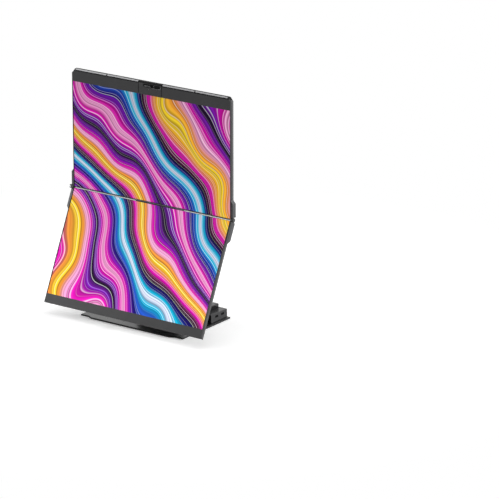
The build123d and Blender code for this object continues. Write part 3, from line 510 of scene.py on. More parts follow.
@as_material
def socket_shell(tree, shader, tint, rear_lip, end_lip):
    """Steel at the mouths of the sockets, and painted shade further in: a near-black, dull, non-metal tone.
    """
    axes = add(tree, "SeparateXYZ", {0: own_place(tree)}).outputs
    at_end = calc(tree, "GREATER_THAN", calc(tree, "ABSOLUTE", axes[0]), end_lip)
    lip = calc(tree, "MAXIMUM", calc(tree, "GREATER_THAN", axes[1], rear_lip), at_end)
    worn = mottled(tree, cloud(tree, scale=500.0), tint, low=0.85, high=1.05)
    feed(shader, Base_Color=blend(tree, lip, linear(18, 18, 19), worn), Metallic=lip, Roughness=0.35)


@as_material
def rubbery(tree, shader, tint):
    """Matte rubber with a pebbled skin."""
    worn = mottled(tree, cloud(tree, scale=40.0), tint, low=0.8, high=1.25)
    feed(shader, Base_Color=worn, Roughness=0.85)
    rough_bump(shader, cells(tree, scale=900.0), height=0.2, strength=0.4)


@as_material
def circuit(tree, shader, tint):
    """Solder mask over copper tracks."""
    track = remap(tree, cells(tree, scale=260.0, distance="MANHATTAN"), low=0.42, high=0.46)
    feed(shader, Base_Color=mottled(tree, track, tint, low=0.85, high=1.6), Roughness=0.35)
    rough_bump(shader, track, height=0.04, strength=0.5)


@as_material
def clear_sheet(tree, shader, tint):
    """Acrylic light guide with its printed dots."""
    dot = remap(tree, cells(tree, scale=500.0, randomness=0.0), low=0.25, high=0.3)
    feed(shader, Base_Color=blend(tree, dot, WHITE, shade(tint, 0.9)), Roughness=0.2, IOR=1.49)


@as_material
def lens_glass(tree, shader):
    """Dark coated glass."""
    coating = blend(tree, cloud(tree, scale=600.0), linear(14, 16, 34), linear(38, 20, 52))
    feed(shader, Base_Color=coating, Roughness=0.05, IOR=1.6, Coat_Weight=1.0, Coat_Roughness=0.03)


# Picture: half its width, its height, where its border begins, and its light when off
PICTURE_HALF, PICTURE_TALL = 265.7, 300.0
PICTURE_EDGE, BORDER = 267.6, linear(12, 12, 13)
OFF_SHARE = 0.2

# Ribbons: how they slope, swell and drift, and how often their tones repeat
SLOPE, SWELL, DRIFT = (0.5, 0.55), (2.6, 1.4), (0.9, 1.0)
SWELL_SHARE, DRIFT_SHARE = 0.16, 0.9
REPEATS, FIRST_TONE = 1.3, 0.3
RIBBONS = ("night violet magenta rose magenta violet indigo blue cyan ice cyan indigo night plum "
           "magenta amber sun amber rose magenta violet night").split()

# Dark threads and pale gleams along the ribbons, and the light from bottom to top
THREADS, THREAD_DARK = (70.0, 3.0), 0.3
GLEAMS, GLEAM_SPAN, GLEAM_SHARE, GLEAM_PALE = (120.0, 1.0), (0.6, 0.74), 0.8, 0.55
TIDE = (1.2, 0.75)


def weighted(tree, first, second, weights):
    return calc(tree, "MULTIPLY_ADD", first, weights[0], calc(tree, "MULTIPLY", second, weights[1]))


def fine_lines(tree, flow, scale, detail):
    sockets = {"W": calc(tree, "MULTIPLY", flow, scale), "Scale": 1.0, "Detail": detail}
    return add(tree, "TexNoise", sockets, noise_dimensions="1D").outputs["Fac"]


def tone_ramp(tree, value):
    """Tones of the ribbons in their order, picked by a value from 0 to 1."""
    node = add(tree, "ValToRGB", {0: value})
    node.color_ramp.interpolation = "EASE"
    stops = node.color_ramp.elements
    while len(stops) < len(RIBBONS):
        stops.new(0.5)
    for i, word in enumerate(RIBBONS):
        stops[i].position = i / (len(RIBBONS) - 1)
        stops[i].color = getattr(chosen("picture"), word)
    return node.outputs["Color"]


@as_material
def lit_picture(tree, shader, lean):
    """Picture of flowing ribbons that cross from one screen to the other."""
    tones = chosen("picture")
    local = vector(tree, "SUBTRACT", own_place(tree), HINGE)
    across = vector(tree, "DOT_PRODUCT", local, ACROSS / (PICTURE_HALF * MM), output="Value")
    along = vector(tree, "DOT_PRODUCT", local, upward(lean) / (PICTURE_TALL * MM), output="Value")
    flat = add(tree, "CombineXYZ", {0: across, 1: along}).outputs[0]
    wander = {"Vector": flat, "Scale": DRIFT[0], "Detail": DRIFT[1]}
    drift = add(tree, "TexNoise", wander).outputs["Fac"]
    swell = calc(tree, "SINE", weighted(tree, along, across, SWELL))
    sway = weighted(tree, swell, drift, (SWELL_SHARE, DRIFT_SHARE))
    flow = calc(tree, "ADD", weighted(tree, along, across, SLOPE), sway)
    tone = tone_ramp(tree, calc(tree, "FRACT", calc(tree, "MULTIPLY_ADD", flow, REPEATS, FIRST_TONE)))
    threads = remap(tree, fine_lines(tree, flow, *THREADS), *NOISE_MIDDLE, THREAD_DARK, 1.0)
    deep = blend(tree, 1.0, tone, blend(tree, threads, tones.plum, WHITE), "MULTIPLY")
    gleam = remap(tree, fine_lines(tree, flow, *GLEAMS), *GLEAM_SPAN, 0.0, GLEAM_SHARE)
    lined = blend(tree, gleam, deep, blend(tree, GLEAM_PALE, tone, WHITE))
    tide = remap(tree, along, -1.0, 1.0, *TIDE)
    level = add(tree, "CombineXYZ", {0: tide, 1: tide, 2: tide}).outputs[0]
    ribbons = blend(tree, 1.0, lined, level, "MULTIPLY")
    outside = calc(tree, "GREATER_THAN", calc(tree, "ABSOLUTE", across), PICTURE_EDGE / PICTURE_HALF)
    final = blend(tree, outside, ribbons, BORDER)
    unlit = blend(tree, 1.0, final, (OFF_SHARE, OFF_SHARE, OFF_SHARE, 1), "MULTIPLY")
    feed(shader, Base_Color=unlit, Roughness=0.36, Specular_IOR_Level=0.06, Emission_Color=final,
         Emission_Strength=tones.glow)


# Reach of the sockets' steel from the hub's faces; further in, painted shade
LIP = 0.5
FINISHES = {}


def make_finishes():
    """Makes each finish once, under the name that the pieces ask for it by."""
    tone = chosen("finish")
    lips = (HUB_REAR - LIP) * MM, (HUB_END - LIP) * MM
    FINISHES.update({
        "bezel": moulded("bezel_plastic", tone.bezel, shine=0.42),
        # Painted shade in black near the hinge axis on the rear and lower covers
        "rear": moulded("rear_plastic", tone.rear, seam=SEAM_SHADE_REACH),
        # Lower cover: a darker copy of the rear plastic as painted shade, its sides in the rear plastic's
        # tone as painted light
        "lower": moulded("lower_plastic", tone.lower, shine=0.28, sides=tone.rear, seam=SEAM_SHADE_REACH),
        "column": painted("column_paint", tone.column, rough=0.34),
        # Plate: paler cut edges as painted light
        "plate": plate_paint("plate_paint", tone.plate, edge=linear(46, 46, 47), rough=0.28),
        # Hub: paler ends as painted light
        "hub": polished_plastic("hub_plastic", tone.hub, rough=0.24, ends=linear(82, 82, 83)),
        "block": polished_plastic("block_gloss", tone.block),
        # Leaves: painted shade in black on the knuckles near the hinge axis
        "leaf": painted("leaf_paint", tone.leaf, rough=0.45, seam=KNUCKLE_SHADE_REACH),
        # Pale strip paint: the vent strips' own tone, also the painted highlights on the shutter's brow and
        # window edge and the keyhole plates' painted light
        "strip": painted("strip_paint", tone.strip, rough=0.4),
        "steel": brushed("brushed_sheet", tone.steel, (1, 1, 0.04)),
        "rod": brushed("polished_rod", tone.rod, (0.03, 1, 1), rough=0.2),
        "gold": brushed("contact_gold", tone.gold, (1, 0.1, 1), rough=0.28),
        "rubber": rubbery("pad_rubber", tone.rubber),
        "board": circuit("solder_mask", tone.board),
        "bronze": brushed("bush_bronze", tone.bronze, (1, 1, 0.1), rough=0.35),
        "alloy": brushed("machined_alloy", tone.alloy, (0.05, 1, 1), rough=0.38),
        "acrylic": clear_sheet("guide_acrylic", tone.acrylic),
        "glass": lens_glass("lens_glass"),
        # Ethernet jack: steel at its mouth, painted shade further in
        "jack": socket_shell("jack_shell", linear(226, 227, 229), *lips),
        # Near-black plastic; on the HDMI and USB-A sockets and the card reader it is painted shade in their
        # mouths
        "socket": moulded("socket_plastic", linear(20, 20, 21), rough=0.5, shine=0.2),
        # Painted shade: lining of the vent slots and the dark bars along the strips
        "liner": moulded("dark_liner", linear(30, 30, 31), rough=0.75, shine=0.05),
        # Near-black matt finish of painted shade: the collar in the column's gap and the bars beside the
        # module
        "felt": moulded("black_felt", linear(7, 7, 8), rough=0.9, shine=0.02),
        # Near-black plastic; on the ridge caps it is painted shade at the strips' ends
        "housing": moulded("housing_plastic", linear(9, 9, 10), rough=0.5, shine=0.1),
        "cap": polished_plastic("cap_plastic", linear(16, 16, 17), rough=0.3),
        # Webcam module: painted shade behind its face
        "module": moulded("module_plastic", tone.bezel, shine=0.42, face=MODULE_SHADE_DEPTH),
        # Window plate in the tone and shine of the module's painted shade
        "window": moulded("window_plastic", MODULE_SHADE, rough=0.8, shine=MODULE_SHADE_SHINE),
        "shutter": moulded("shutter_plastic", linear(60, 61, 64), rough=0.4, shine=0.4),
        "upper_picture": lit_picture("upper_picture", UPRIGHT),
        "lower_picture": lit_picture("lower_picture", LEANING),
    })


NODE_FINISHES = {
    "bezel": "upper_bezel lower_bezel",
    "module": "webcam_housing",
    "rear": "upper_cover",
    # Lower cover and column cap take the darker copy of the rear plastic: painted shade
    "lower": "lower_cover column_cap",
    "column": "column_shell plinth",
    "plate": "base_plate mount_plate gas_cylinder",
    "hub": "hub_shell",
    "block": "hub_blocks power_button",
    "shutter": "webcam_shutter",
    "leaf": "upper_leaves lower_leaves hinge_washers",
    "cap": "hinge_caps",
    "strip": "vent_strips",
    "steel": "upper_tray lower_tray upper_chassis plinth_bolts swivel_spindle swivel_nut hub_screws "
             "hub_standoffs usb_c_sockets lower_usb_sockets column_screws carriage_bolts mount_screws "
             "upper_cover_screws",
    "jack": "ethernet_jack",
    "rod": "hinge_rod guide_rods gas_rod",
    "rubber": "base_pads",
    "board": "hub_board upper_board lower_board webcam_board",
    "bronze": "carriage_bushes",
    "alloy": "column_foot carriage",
    "acrylic": "upper_light_guide lower_light_guide",
    "glass": "webcam_lens",
    # HDMI and USB-A sockets and card reader in near-black as painted shade in their mouths
    "socket": "hdmi_sockets usb_a_sockets card_reader swivel_washer power_and_audio_jacks speakers "
              "power_switch",
    # Control housing in near-black plastic; the ridge caps in the same tone as painted shade at the strips'
    # ends
    "housing": "control_housing ridge_caps",
    "upper_picture": "upper_lcd",
    "lower_picture": "lower_lcd",
}
SOFT_NODES = ("upper_bezel lower_bezel upper_cover lower_cover base_plate plinth column_shell "
              "column_cap hub_shell hub_blocks control_housing upper_leaves lower_leaves "
              "ridge_caps webcam_housing mount_plate").split()

# Soft edges: reach of the weld, angles of faces to join and of edges to round, and steps
WELD_REACH = 0.01 * MM
FLAT_ANGLE, SHARP_ANGLE = math.radians(0.5), math.radians(38)
SOFT_STEPS = 2


class MONITOR_OT_finishes(bpy.types.Operator):
    """Gives every CAD node its finish"""
    bl_idname = "monitor.finishes"
    bl_label = "Finishes"

    def execute(self, context):
        make_finishes()
        left = set(frame["nodes"])
        for finish, names in NODE_FINISHES.items():
            for name in names.split():
                slots = frame["nodes"][name].data.materials
                slots.clear()
                slots.append(FINISHES[finish])
                left.remove(name)
        if left:
            raise RuntimeError(f"no finish for {sorted(left)}")
        return {"FINISHED"}


class MONITOR_OT_soft_edges(bpy.types.Operator):
    """Rounds the edges of the moulded and painted pieces a little"""
    bl_idname = "monitor.soft_edges"
    bl_label = "Soft edges"

    def execute(self, context):
        for name in SOFT_NODES:
            node = frame["nodes"][name]
            node.modifiers.new("weld", "WELD").merge_threshold = WELD_REACH
            flat = node.modifiers.new("flat", "DECIMATE")
            flat.decimate_type = "DISSOLVE"
            flat.angle_limit = FLAT_ANGLE
            soft = node.modifiers.new("soft", "BEVEL")
            soft.width = chosen("detail").soft_edge
            soft.segments = SOFT_STEPS
            soft.angle_limit = SHARP_ANGLE
            node.modifiers.new("normals", "WEIGHTED_NORMAL")
        return {"FINISHED"}


# Vent strips: spans across, and the crown as depths and heights
STRIP_SPANS = ((-258.5, -152.1), (-148.1, -41.7), (41.7, 148.1), (152.1, 258.5))
CROWN = ((1.5, 338.888), (4.0, 342.2), (11.0, 342.2), (13.5, 339.825))
STRIP_THICK = 1.6
SLOT_ENDS = (4.2, 10.8)

# Dark bars of painted shadow along the strips' lower edges: sections as depths and heights
SHADOW_BARS = (
    ((0.64, 337.88), (1.44, 338.94), (1.6, 338.8), (0.8, 337.7)),
    ((13.55, 339.88), (14.35, 339.12), (14.2, 338.95), (13.4, 339.7)),
)


def shadow_bar(shape, section, low, high):
    """Adds one bar with a four-cornered section."""
    ends = [[shape.verts.new(screen_spot(UPRIGHT, x, height, depth)) for depth, height in section]
            for x in (low, high)]
    for i in range(4):
        shape.faces.new((ends[0][i], ends[0][i - 1], ends[1][i - 1], ends[1][i]))
    for end in ends:
        shape.faces.new(end)


def strip_shape(shape, low, high):
    """Adds one strip with a row of slots through its crown; the slots and the crown's flat row take the
    lining, which is painted shade.
    """
    detail = chosen("detail")
    pitch, width = detail.slot_pitch / MM, detail.slot_width / MM
    count = int((high - low - 2 * pitch) / pitch)
    first = (low + high - count * pitch) / 2
    lines = [low]
    for i in range(count):
        middle = first + (i + 0.5) * pitch
        lines += [middle - width / 2, middle + width / 2]
    lines.append(high)
    flat = CROWN[1][1]
    rows = [CROWN[0], CROWN[1], (SLOT_ENDS[0], flat), (SLOT_ENDS[1], flat), CROWN[2], CROWN[3]]
    slot_row = 2

    def line_of(x, drop):
        return [shape.verts.new(screen_spot(UPRIGHT, x, height - drop, depth)) for depth, height in rows]

    tops = [line_of(x, 0.0) for x in lines]
    ends = [line_of(x, STRIP_THICK) for x in (low, high)]
    for i, (near, far) in enumerate(zip(tops, tops[1:])):
        for j in range(len(rows) - 1):
            corners = [near[j], far[j], far[j + 1], near[j + 1]]
            # Slot floors and walls, and the crown's flat row between them, take the lining: painted shade
            if i % 2 and j == slot_row:
                floor = [shape.verts.new(v.co - Vector((0, 0, detail.slot_depth))) for v in corners]
                shape.faces.new(floor).material_index = 1
                for k in range(4):
                    shape.faces.new((corners[k], corners[k - 1], floor[k - 1], floor[k])).material_index = 1
            else:
                shape.faces.new(corners).material_index = int(j == slot_row)
    for j in range(len(rows) - 1):
        shape.faces.new((ends[0][j], ends[1][j], ends[1][j + 1], ends[0][j + 1]))
    for top, end in ((tops[0], ends[0]), (tops[-1], ends[1])):
        shape.faces.new(top + end[::-1])
    for j in (0, len(rows) - 1):
        shape.faces.new([line[j] for line in tops] + [ends[1][j], ends[0][j]])


class MONITOR_OT_vent_strips(bpy.types.Operator):
    """Slotted strips along the top ridge, lined with painted shade, and dark bars of painted shadow along
    their lower edges
    """
    bl_idname = "monitor.vent_strips"
    bl_label = "Vent strips"

    def execute(self, context):
        strips, seals = bmesh.new(), bmesh.new()
        for low, high in STRIP_SPANS:
            strip_shape(strips, low, high)
            for section in SHADOW_BARS:
                shadow_bar(seals, section, low, high)
        piece("slotted_strips", [(mesh_of("strips", strips), Matrix())], "strip", UPPER,
              replaced="vent_strips", lining="liner")
        piece("strip_gaskets", [(mesh_of("seals", seals), Matrix())], "liner", UPPER)
        return {"FINISHED"}


# Screw heads: places on the upper screen and the base, and radius and height
COVER_SCREWS = ((263.0, 258.0), (248.0, 247.0), (263.0, 137.0), (248.0, 84.5), (68.0, 247.0), (58.0, 256.5))
COVER_HEAD = (2.4, 0.9)
HUB_SCREWS = ((120.0, 18.6), (60.0, 73.0))
HUB_HEAD = (2.9, 1.4)
PLATE_UNDERSIDE = 1.0

# Shares of a head's radius and height: the cross, its depth, the rounding and the foot
CROSS_ARM, CROSS_HALF, CROSS_DEEP = 0.62, 0.15, 0.55
HEAD_SOFT, FOOT_WIDE, FOOT_TALL = 0.1, 0.97, 0.5
HEAD_STEPS = 32


def cross_head(radius, tall):
    """Mesh of a screw head with a cross recess, its top at z 0."""
    arm, half, deep = CROSS_ARM * radius, CROSS_HALF * radius, CROSS_DEEP * tall
    cross, corner = [], [(arm, half), (half, half), (half, arm)]
    for _ in range(4):
        cross += corner
        corner = [(-y, x) for x, y in corner]
    face = cut_plate([ring_points(radius, HEAD_STEPS), cross], deep, HEAD_SOFT * tall)
    foot = cut_plate([ring_points(FOOT_WIDE * radius, HEAD_STEPS)], FOOT_TALL * tall)
    levels = ((face, -deep), (foot, -tall))
    return mesh_of("cross_head", gather([(mesh, Matrix.Translation((0, 0, z * MM))) for mesh, z in levels]))


class MONITOR_OT_screw_heads(bpy.types.Operator):
    """Cross-recessed heads of the screws that show"""
    bl_idname = "monitor.screw_heads"
    bl_label = "Screw heads"

    def execute(self, context):
        head = cross_head(*COVER_HEAD)
        spots = [screen_spot(UPRIGHT, side * x, height, PANEL_THICK) for x, height in COVER_SCREWS
                 for side in (-1, 1)]
        copies = [(head, facing(spot, (0, 1, 0))) for spot in spots]
        piece("cover_screw_heads", copies, "plate", UPPER, smooth=35, replaced="upper_cover_screws")
        head = cross_head(*HUB_HEAD)
        spots = [Vector((side * x, y, PLATE_UNDERSIDE)) * MM for x, y in HUB_SCREWS for side in (-1, 1)]
        copies = [(head, facing(spot, (0, 0, -1))) for spot in spots]
        piece("hub_screw_heads", copies, "steel", BASE, smooth=35, replaced="hub_screws")
        return {"FINISHED"}


# Webcam window, and the pale line of painted highlight along its lower edge
EYE_X, EYE_HEIGHT = 6.0, 331.9
EYE_SIZE = (58.0, 9.6)
SILL_GLINT_WIDTH, SILL_GLINT_FROM = 0.8, 6.0
SILL_GLINT_STEPS, ARCH_STEPS = 10, 20

# Lens, lamp and microphone rings: places, and profiles as radii and heights
LENS_X, LENS_BACK = 11.0, 5.8
BARREL = ((0, 0), (3.0, 0), (3.0, 3.55), (2.8, 3.8), (2.3, 3.8), (2.15, 3.6), (1.5, 3.0), (0, 2.9))
DOME = ((0, 2.95), (1.6, 2.95), (1.5, 3.15), (1.2, 3.38), (0.7, 3.52), (0, 3.57))
LAMP_X, LAMP_HEIGHT, RING_X = -4.6, 321.7, 32.0
LAMP = ((0, 0), (0.6, 0), (0.6, 0.08), (0.45, 0.14), (0, 0.16))
RING = ((0.45, 0), (0.95, 0), (0.9, 0.1), (0.5, 0.1))

# Shutter: place, outline, grip as half width, foot and rise, the painted highlight along the grip's brow as
# width and inset, and ribs
SHUTTER_X, SHUTTER_BACK, GRIP_BACK = -8.8, 1.4, 0.5
SHUTTER_SIZE = (28.0, 9.2)
GRIP = (12.0, -3.4, 3.2)
HIGHLIGHT_WIDTH, HIGHLIGHT_INSET = 0.6, 2
RIB, RIB_PITCH, RIB_DROP = (2.0, 0.5, 6), 1.4, 2.0

# Black bars beside the module, painted shade of the gaps at its sides: across, height of their middle, and
# outline
GAP_SHADE_X, GAP_SHADE_HEIGHT = 39.1, 322.4
GAP_SHADE_BAR = (1.6, 25.6, 0.3)


def sill_points(long, tall, width, start):
    """Outline of a pale line of painted highlight along a pill-shaped window's lower edge, from a place to
    its right end.
    """
    middle = (long - tall) / 2
    turns = [math.pi / 2 * k / SILL_GLINT_STEPS for k in range(SILL_GLINT_STEPS + 1)]

    def edge(radius):
        bend = [(middle + radius * math.sin(turn), -radius * math.cos(turn)) for turn in turns]
        return [(start, -radius)] + bend

    return edge(tall / 2 + width) + edge(tall / 2)[::-1]


def arch_points(half, low, rise):
    """Points along a flat arch, from left to right."""
    shares = [2 * k / ARCH_STEPS - 1 for k in range(ARCH_STEPS + 1)]
    return [(half * share, low + rise * math.sqrt(1 - share ** 2)) for share in shares]


def on_front(across, height, depth=0.0):
    """Matrix that puts a mesh on the upper screen's front, or behind it."""
    return facing(screen_spot(UPRIGHT, across, height, depth), outward(UPRIGHT))


def both_sides(mesh, across, height):
    return [(mesh, on_front(side * across, height)) for side in (-1, 1)]


class MONITOR_OT_webcam(bpy.types.Operator):
    """Lens, lamp, microphone rings and sliding shutter of the webcam, painted highlight on the shutter's brow
    and the window's lower edge, and black bars of painted shade beside the module
    """
    bl_idname = "monitor.webcam"
    bl_label = "Webcam"

    def execute(self, context):
        place = on_front(LENS_X, EYE_HEIGHT, LENS_BACK)
        piece("lens_barrel", [(turned(BARREL), place)], "socket", UPPER, smooth=30,
              replaced="webcam_lens")
        piece("lens_dome", [(turned(DOME), place)], "glass", UPPER, smooth=60)
        place = on_front(LAMP_X, LAMP_HEIGHT)
        piece("webcam_lamp", [(turned(LAMP), place)], "acrylic", UPPER, smooth=60)
        rings = both_sides(turned(RING, closed=True), RING_X, LAMP_HEIGHT)
        piece("microphone_rings", rings, "bezel", UPPER, smooth=40)
        plate = cut_plate([pill_points(*SHUTTER_SIZE)], thick=1.0, soft=0.2)
        place = on_front(SHUTTER_X, EYE_HEIGHT, SHUTTER_BACK)
        piece("shutter_plate", [(plate, place)], "window", "shutter", smooth=35,
              replaced="webcam_shutter")
        arch = arch_points(*GRIP)
        place = on_front(SHUTTER_X, EYE_HEIGHT, GRIP_BACK)
        copies = [(cut_plate([arch], thick=0.35, soft=0.1), place)]
        rib = cut_plate([pill_points(*RIB)], thick=0.5, soft=0.1)
        for step in (-1, 0, 1):
            spot = on_front(SHUTTER_X + RIB_PITCH * step, EYE_HEIGHT - RIB_DROP, GRIP_BACK)
            copies.append((rib, spot @ Matrix.Rotation(math.pi / 2, 4, "Z")))
        piece("shutter_grip", copies, "shutter", "shutter", smooth=35)
        # Pale line along the grip's brow: painted highlight
        edge = arch[HIGHLIGHT_INSET:-HIGHLIGHT_INSET]
        outline = edge + [(x, y - HIGHLIGHT_WIDTH) for x, y in reversed(edge)]
        highlight_line = cut_plate([outline], thick=0.4, soft=0.02)
        piece("shutter_brow", [(highlight_line, place)], "strip", "shutter")
        # Black bars beside the module: painted shade of the gaps at its sides
        bar = cut_plate([rounded_points(*GAP_SHADE_BAR)], thick=0.12, soft=0.04)
        piece("module_trim", both_sides(bar, GAP_SHADE_X, GAP_SHADE_HEIGHT), "felt", UPPER)
        # Pale line along the window's lower edge: painted highlight
        rim = cut_plate([sill_points(*EYE_SIZE, SILL_GLINT_WIDTH, SILL_GLINT_FROM - EYE_X)], thick=0.15, soft=0.04)
        piece("window_rim", [(rim, on_front(EYE_X, EYE_HEIGHT))], "strip", UPPER)
        return {"FINISHED"}


# Contacts: top of the board, half a tongue's thickness, and how far in it and its bars begin
BOARD_TOP = 12.2
TONGUE_HALF = 0.35
TONGUE_BACK, BAR_BACK = 1.2, 0.3

# Mouths in the hub's rear and end and in the lower screen, and rims of the round jacks
ETHERNET, HDMI, USB_C, JACK = (0.0, 13.4), (40.5, 5.8), (81.5, 3.2), (130.0, 9.0)
USB_A_SPOTS, USB_A_MIDDLE = (36.0, 64.0), 6.8
LOWER_MOUTH = (42.0, -316.0, 11.25)
JACK_RIM = ((2.8, 0), (3.6, 0), (3.6, 0.1), (3.45, 0.15), (2.95, 0.15))


def contact_bars(count, pitch, wide, long, tongue=0.0, sides=(-1, 1)):
    """Bars on a contact tongue, in a mouth's own frame, whose Z points out."""
    bar = cut_plate([rounded_points(wide, long, radius=wide / 3, steps=3)], thick=0.14)
    copies = []
    for side in sides:
        for i in range(count):
            x = (i - (count - 1) / 2) * pitch
            spot = Vector((x, tongue + side * TONGUE_HALF, -TONGUE_BACK - long / 2 - BAR_BACK)) * MM
            copies.append((bar, facing(spot, (0, side, 0))))
    return mesh_of("bars", gather(copies))


def rear_mouth(side, across, tall):
    return facing(Vector((side * across, HUB_REAR, BOARD_TOP + tall / 2)) * MM, (0, 1, 0), (-1, 0, 0))


def end_mouth(y):
    return facing(Vector((HUB_END, y, BOARD_TOP + USB_A_MIDDLE)) * MM, (1, 0, 0), (0, 1, 0))


class MONITOR_OT_sockets(bpy.types.Operator):
    """Contacts and rims inside the sockets"""
    bl_idname = "monitor.sockets"
    bl_label = "Sockets"

    def execute(self, context):
        ethernet = contact_bars(count=8, pitch=0.95, wide=0.4, long=9.0, tongue=3.4, sides=(-1,))
        hdmi = contact_bars(count=10, pitch=0.7, wide=0.35, long=7.0)
        usb_c = contact_bars(count=12, pitch=0.34, wide=0.18, long=4.2)
        usb_a = contact_bars(count=4, pitch=1.5, wide=0.8, long=9.0, sides=(-1,))
        copies = [(ethernet, rear_mouth(1, *ETHERNET))]
        copies += [(hdmi, rear_mouth(side, *HDMI)) for side in (-1, 1)]
        copies += [(usb_c, rear_mouth(side, *USB_C)) for side in (-1, 1)]
        copies += [(usb_a, end_mouth(y)) for y in USB_A_SPOTS]
        piece("hub_contacts", copies, "gold", BASE)
        across, height, depth = LOWER_MOUTH
        spots = [screen_spot(LEANING, side * across, height, depth) for side in (-1, 1)]
        copies = [(usb_c, facing(spot, -upward(LEANING))) for spot in spots]
        piece("lower_contacts", copies, "gold", LOWER)
        rim = turned(JACK_RIM, closed=True)
        copies = [(rim, rear_mouth(side, *JACK)) for side in (-1, 1)]
        piece("jack_rims", copies, "block", BASE, smooth=35)
        return {"FINISHED"}


# Ends of the hinge rod: where they begin, the head's length and radius, profiles, and the stud
CAP_LOW, HEAD_LONG, HEAD_RADIUS = 278.3, 5.7, 5.8
HEAD = ((1.52, 0), (5.4, 0), (5.8, 0.4), (5.8, 4.9), (5.5, 5.45), (4.9, 5.7), (2.0, 5.7), (1.52, 5.2))
CLIP = ((1.52, 0), (5.5, 0), (5.8, 0.25), (5.8, 0.75), (5.5, 1.0), (2.0, 1.0), (1.52, 0.8))
STUD = ((0, 0), (2.8, 0), (2.8, 0.3), (2.4, 0.7), (1.4, 0.95), (0, 1.0))
STUD_SUNK = 0.6


class MONITOR_OT_hinge_caps(bpy.types.Operator):
    """Round head and clip at the ends of the hinge rod"""
    bl_idname = "monitor.hinge_caps"
    bl_label = "Hinge caps"

    def execute(self, context):
        copies = []
        for side, profile in ((-1, HEAD), (1, CLIP)):
            place = facing(HINGE + ACROSS * side * CAP_LOW * MM, ACROSS * side, (0, 1, 0))
            copies.append((turned(profile, closed=True), place))
        piece("hinge_end_caps", copies, "cap", UPPER, smooth=30, replaced="hinge_caps")
        front = outward(UPRIGHT)
        spot = HINGE + (front * (HEAD_RADIUS - STUD_SUNK) - ACROSS * (CAP_LOW + HEAD_LONG / 2)) * MM
        piece("hinge_stud", [(turned(STUD), facing(spot, front))], "steel", UPPER, smooth=40)
        return {"FINISHED"}


# Pads under the base plate: across, along, long, wide
PADS = [(0.0, 0.0, 120.0, 30.0)]
PADS += [(x, y, 60.0, 12.0) for y in (-119.2, 70.0) for x in (136.5, -136.5)]
PAD_CORNER = 4.0

# Black collar in the gap under the column, painted shade of the gap: outline, radius and sides of its hole,
# lower face and height
COLLAR = (138.8, 35.5, 2.0)
COLLAR_HOLE = (16.8, 64)
COLLAR_LOW, COLLAR_TALL = 58.3, 3.6

# Pale plates behind the keyholes, painted light inside them: across, height, depth of the face, outline and
# thickness
KEYHOLES = (43.0, -130.0, 12.9)
KEYHOLE_PLATE, KEYHOLE_THICK = (32.0, 56.0, 4.0), 1.0


class MONITOR_OT_fittings(bpy.types.Operator):
    """Pads under the base, a black collar of painted shade under the column and pale plates of painted light
    behind the keyholes
    """
    bl_idname = "monitor.fittings"
    bl_label = "Fittings"

    def execute(self, context):
        copies = []
        for x, y, long, wide in PADS:
            pad = cut_plate([rounded_points(long, wide, PAD_CORNER)], thick=1.0, soft=0.25)
            copies.append((pad, Matrix.Translation((x * MM, y * MM, 0))))
        piece("rounded_pads", copies, "rubber", BASE, smooth=35, replaced="base_pads")
        # Black collar that fills the gap under the column: painted shade
        ring = cut_plate([rounded_points(*COLLAR), ring_points(*COLLAR_HOLE)], COLLAR_TALL)
        place = Matrix.Translation((0, 0, COLLAR_LOW * MM))
        piece("swivel_collar", [(ring, place)], "felt", COLUMN, smooth=35)
        # Pale plates behind the keyholes: painted light inside them
        x, height, depth = KEYHOLES
        plate = cut_plate([rounded_points(*KEYHOLE_PLATE)], KEYHOLE_THICK, soft=0.2)
        copies = []
        for side in (-1, 1):
            spot = screen_spot(LEANING, side * x, height, depth - KEYHOLE_THICK)
            copies.append((plate, facing(spot, -outward(LEANING))))
        piece("keyhole_plates", copies, "strip", LOWER, smooth=35)
        return {"FINISHED"}


# Rings of the power button: radius, and how far each lies below the top
BUTTON_RINGS = ((5.0, 0.5), (4.6, 0.0), (3.6, 0.0), (3.5, 0.25), (0, 0.3))


class MONITOR_OT_power_button(bpy.types.Operator):
    """Dished power button under the control housing"""
    bl_idname = "monitor.power_button"
    bl_label = "Power button"

    def execute(self, context):
        low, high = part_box("power_button")
        tall = (high.z - low.z) / MM
        profile = [(0, 0), (BUTTON_RINGS[0][0], 0)] + [(radius, tall - drop) for radius, drop in BUTTON_RINGS]
        middle = (low + high) / 2
        place = facing(Vector((middle.x, middle.y, high.z)), (0, 0, -1))
        piece("dished_button", [(turned(profile), place)], "block", "button", smooth=30,
              replaced="power_button")
        return {"FINISHED"}


# Softboxes: place, size and share of the lamp setting, and their aim
SOFTBOXES = (
    ((0.0, 0.0, 3.4), 3.2, 0.75),
    ((-3.4, -1.5, 1.6), 2.2, 2.7),
    ((3.3, 1.7, 1.6), 2.2, 3.2),
)
AIM = Vector((0, -0.05, 0.33))

# Floor: its drop and bounce, and where its shadows fade
FLOOR_DROP, FLOOR_BOUNCE = 0.0002, 0.1
FLOOR_NEAR, FLOOR_FAR = 0.6, 1.3


def seen_directly(tree):
    """1 where the camera, a reflection or a refraction looks, and 0 for light that bounces."""
    path = add(tree, "LightPath").outputs
    shiny = calc(tree, "MAXIMUM", path["Is Glossy Ray"], path["Is Transmission Ray"])
    return calc(tree, "MAXIMUM", path["Is Camera Ray"], shiny)


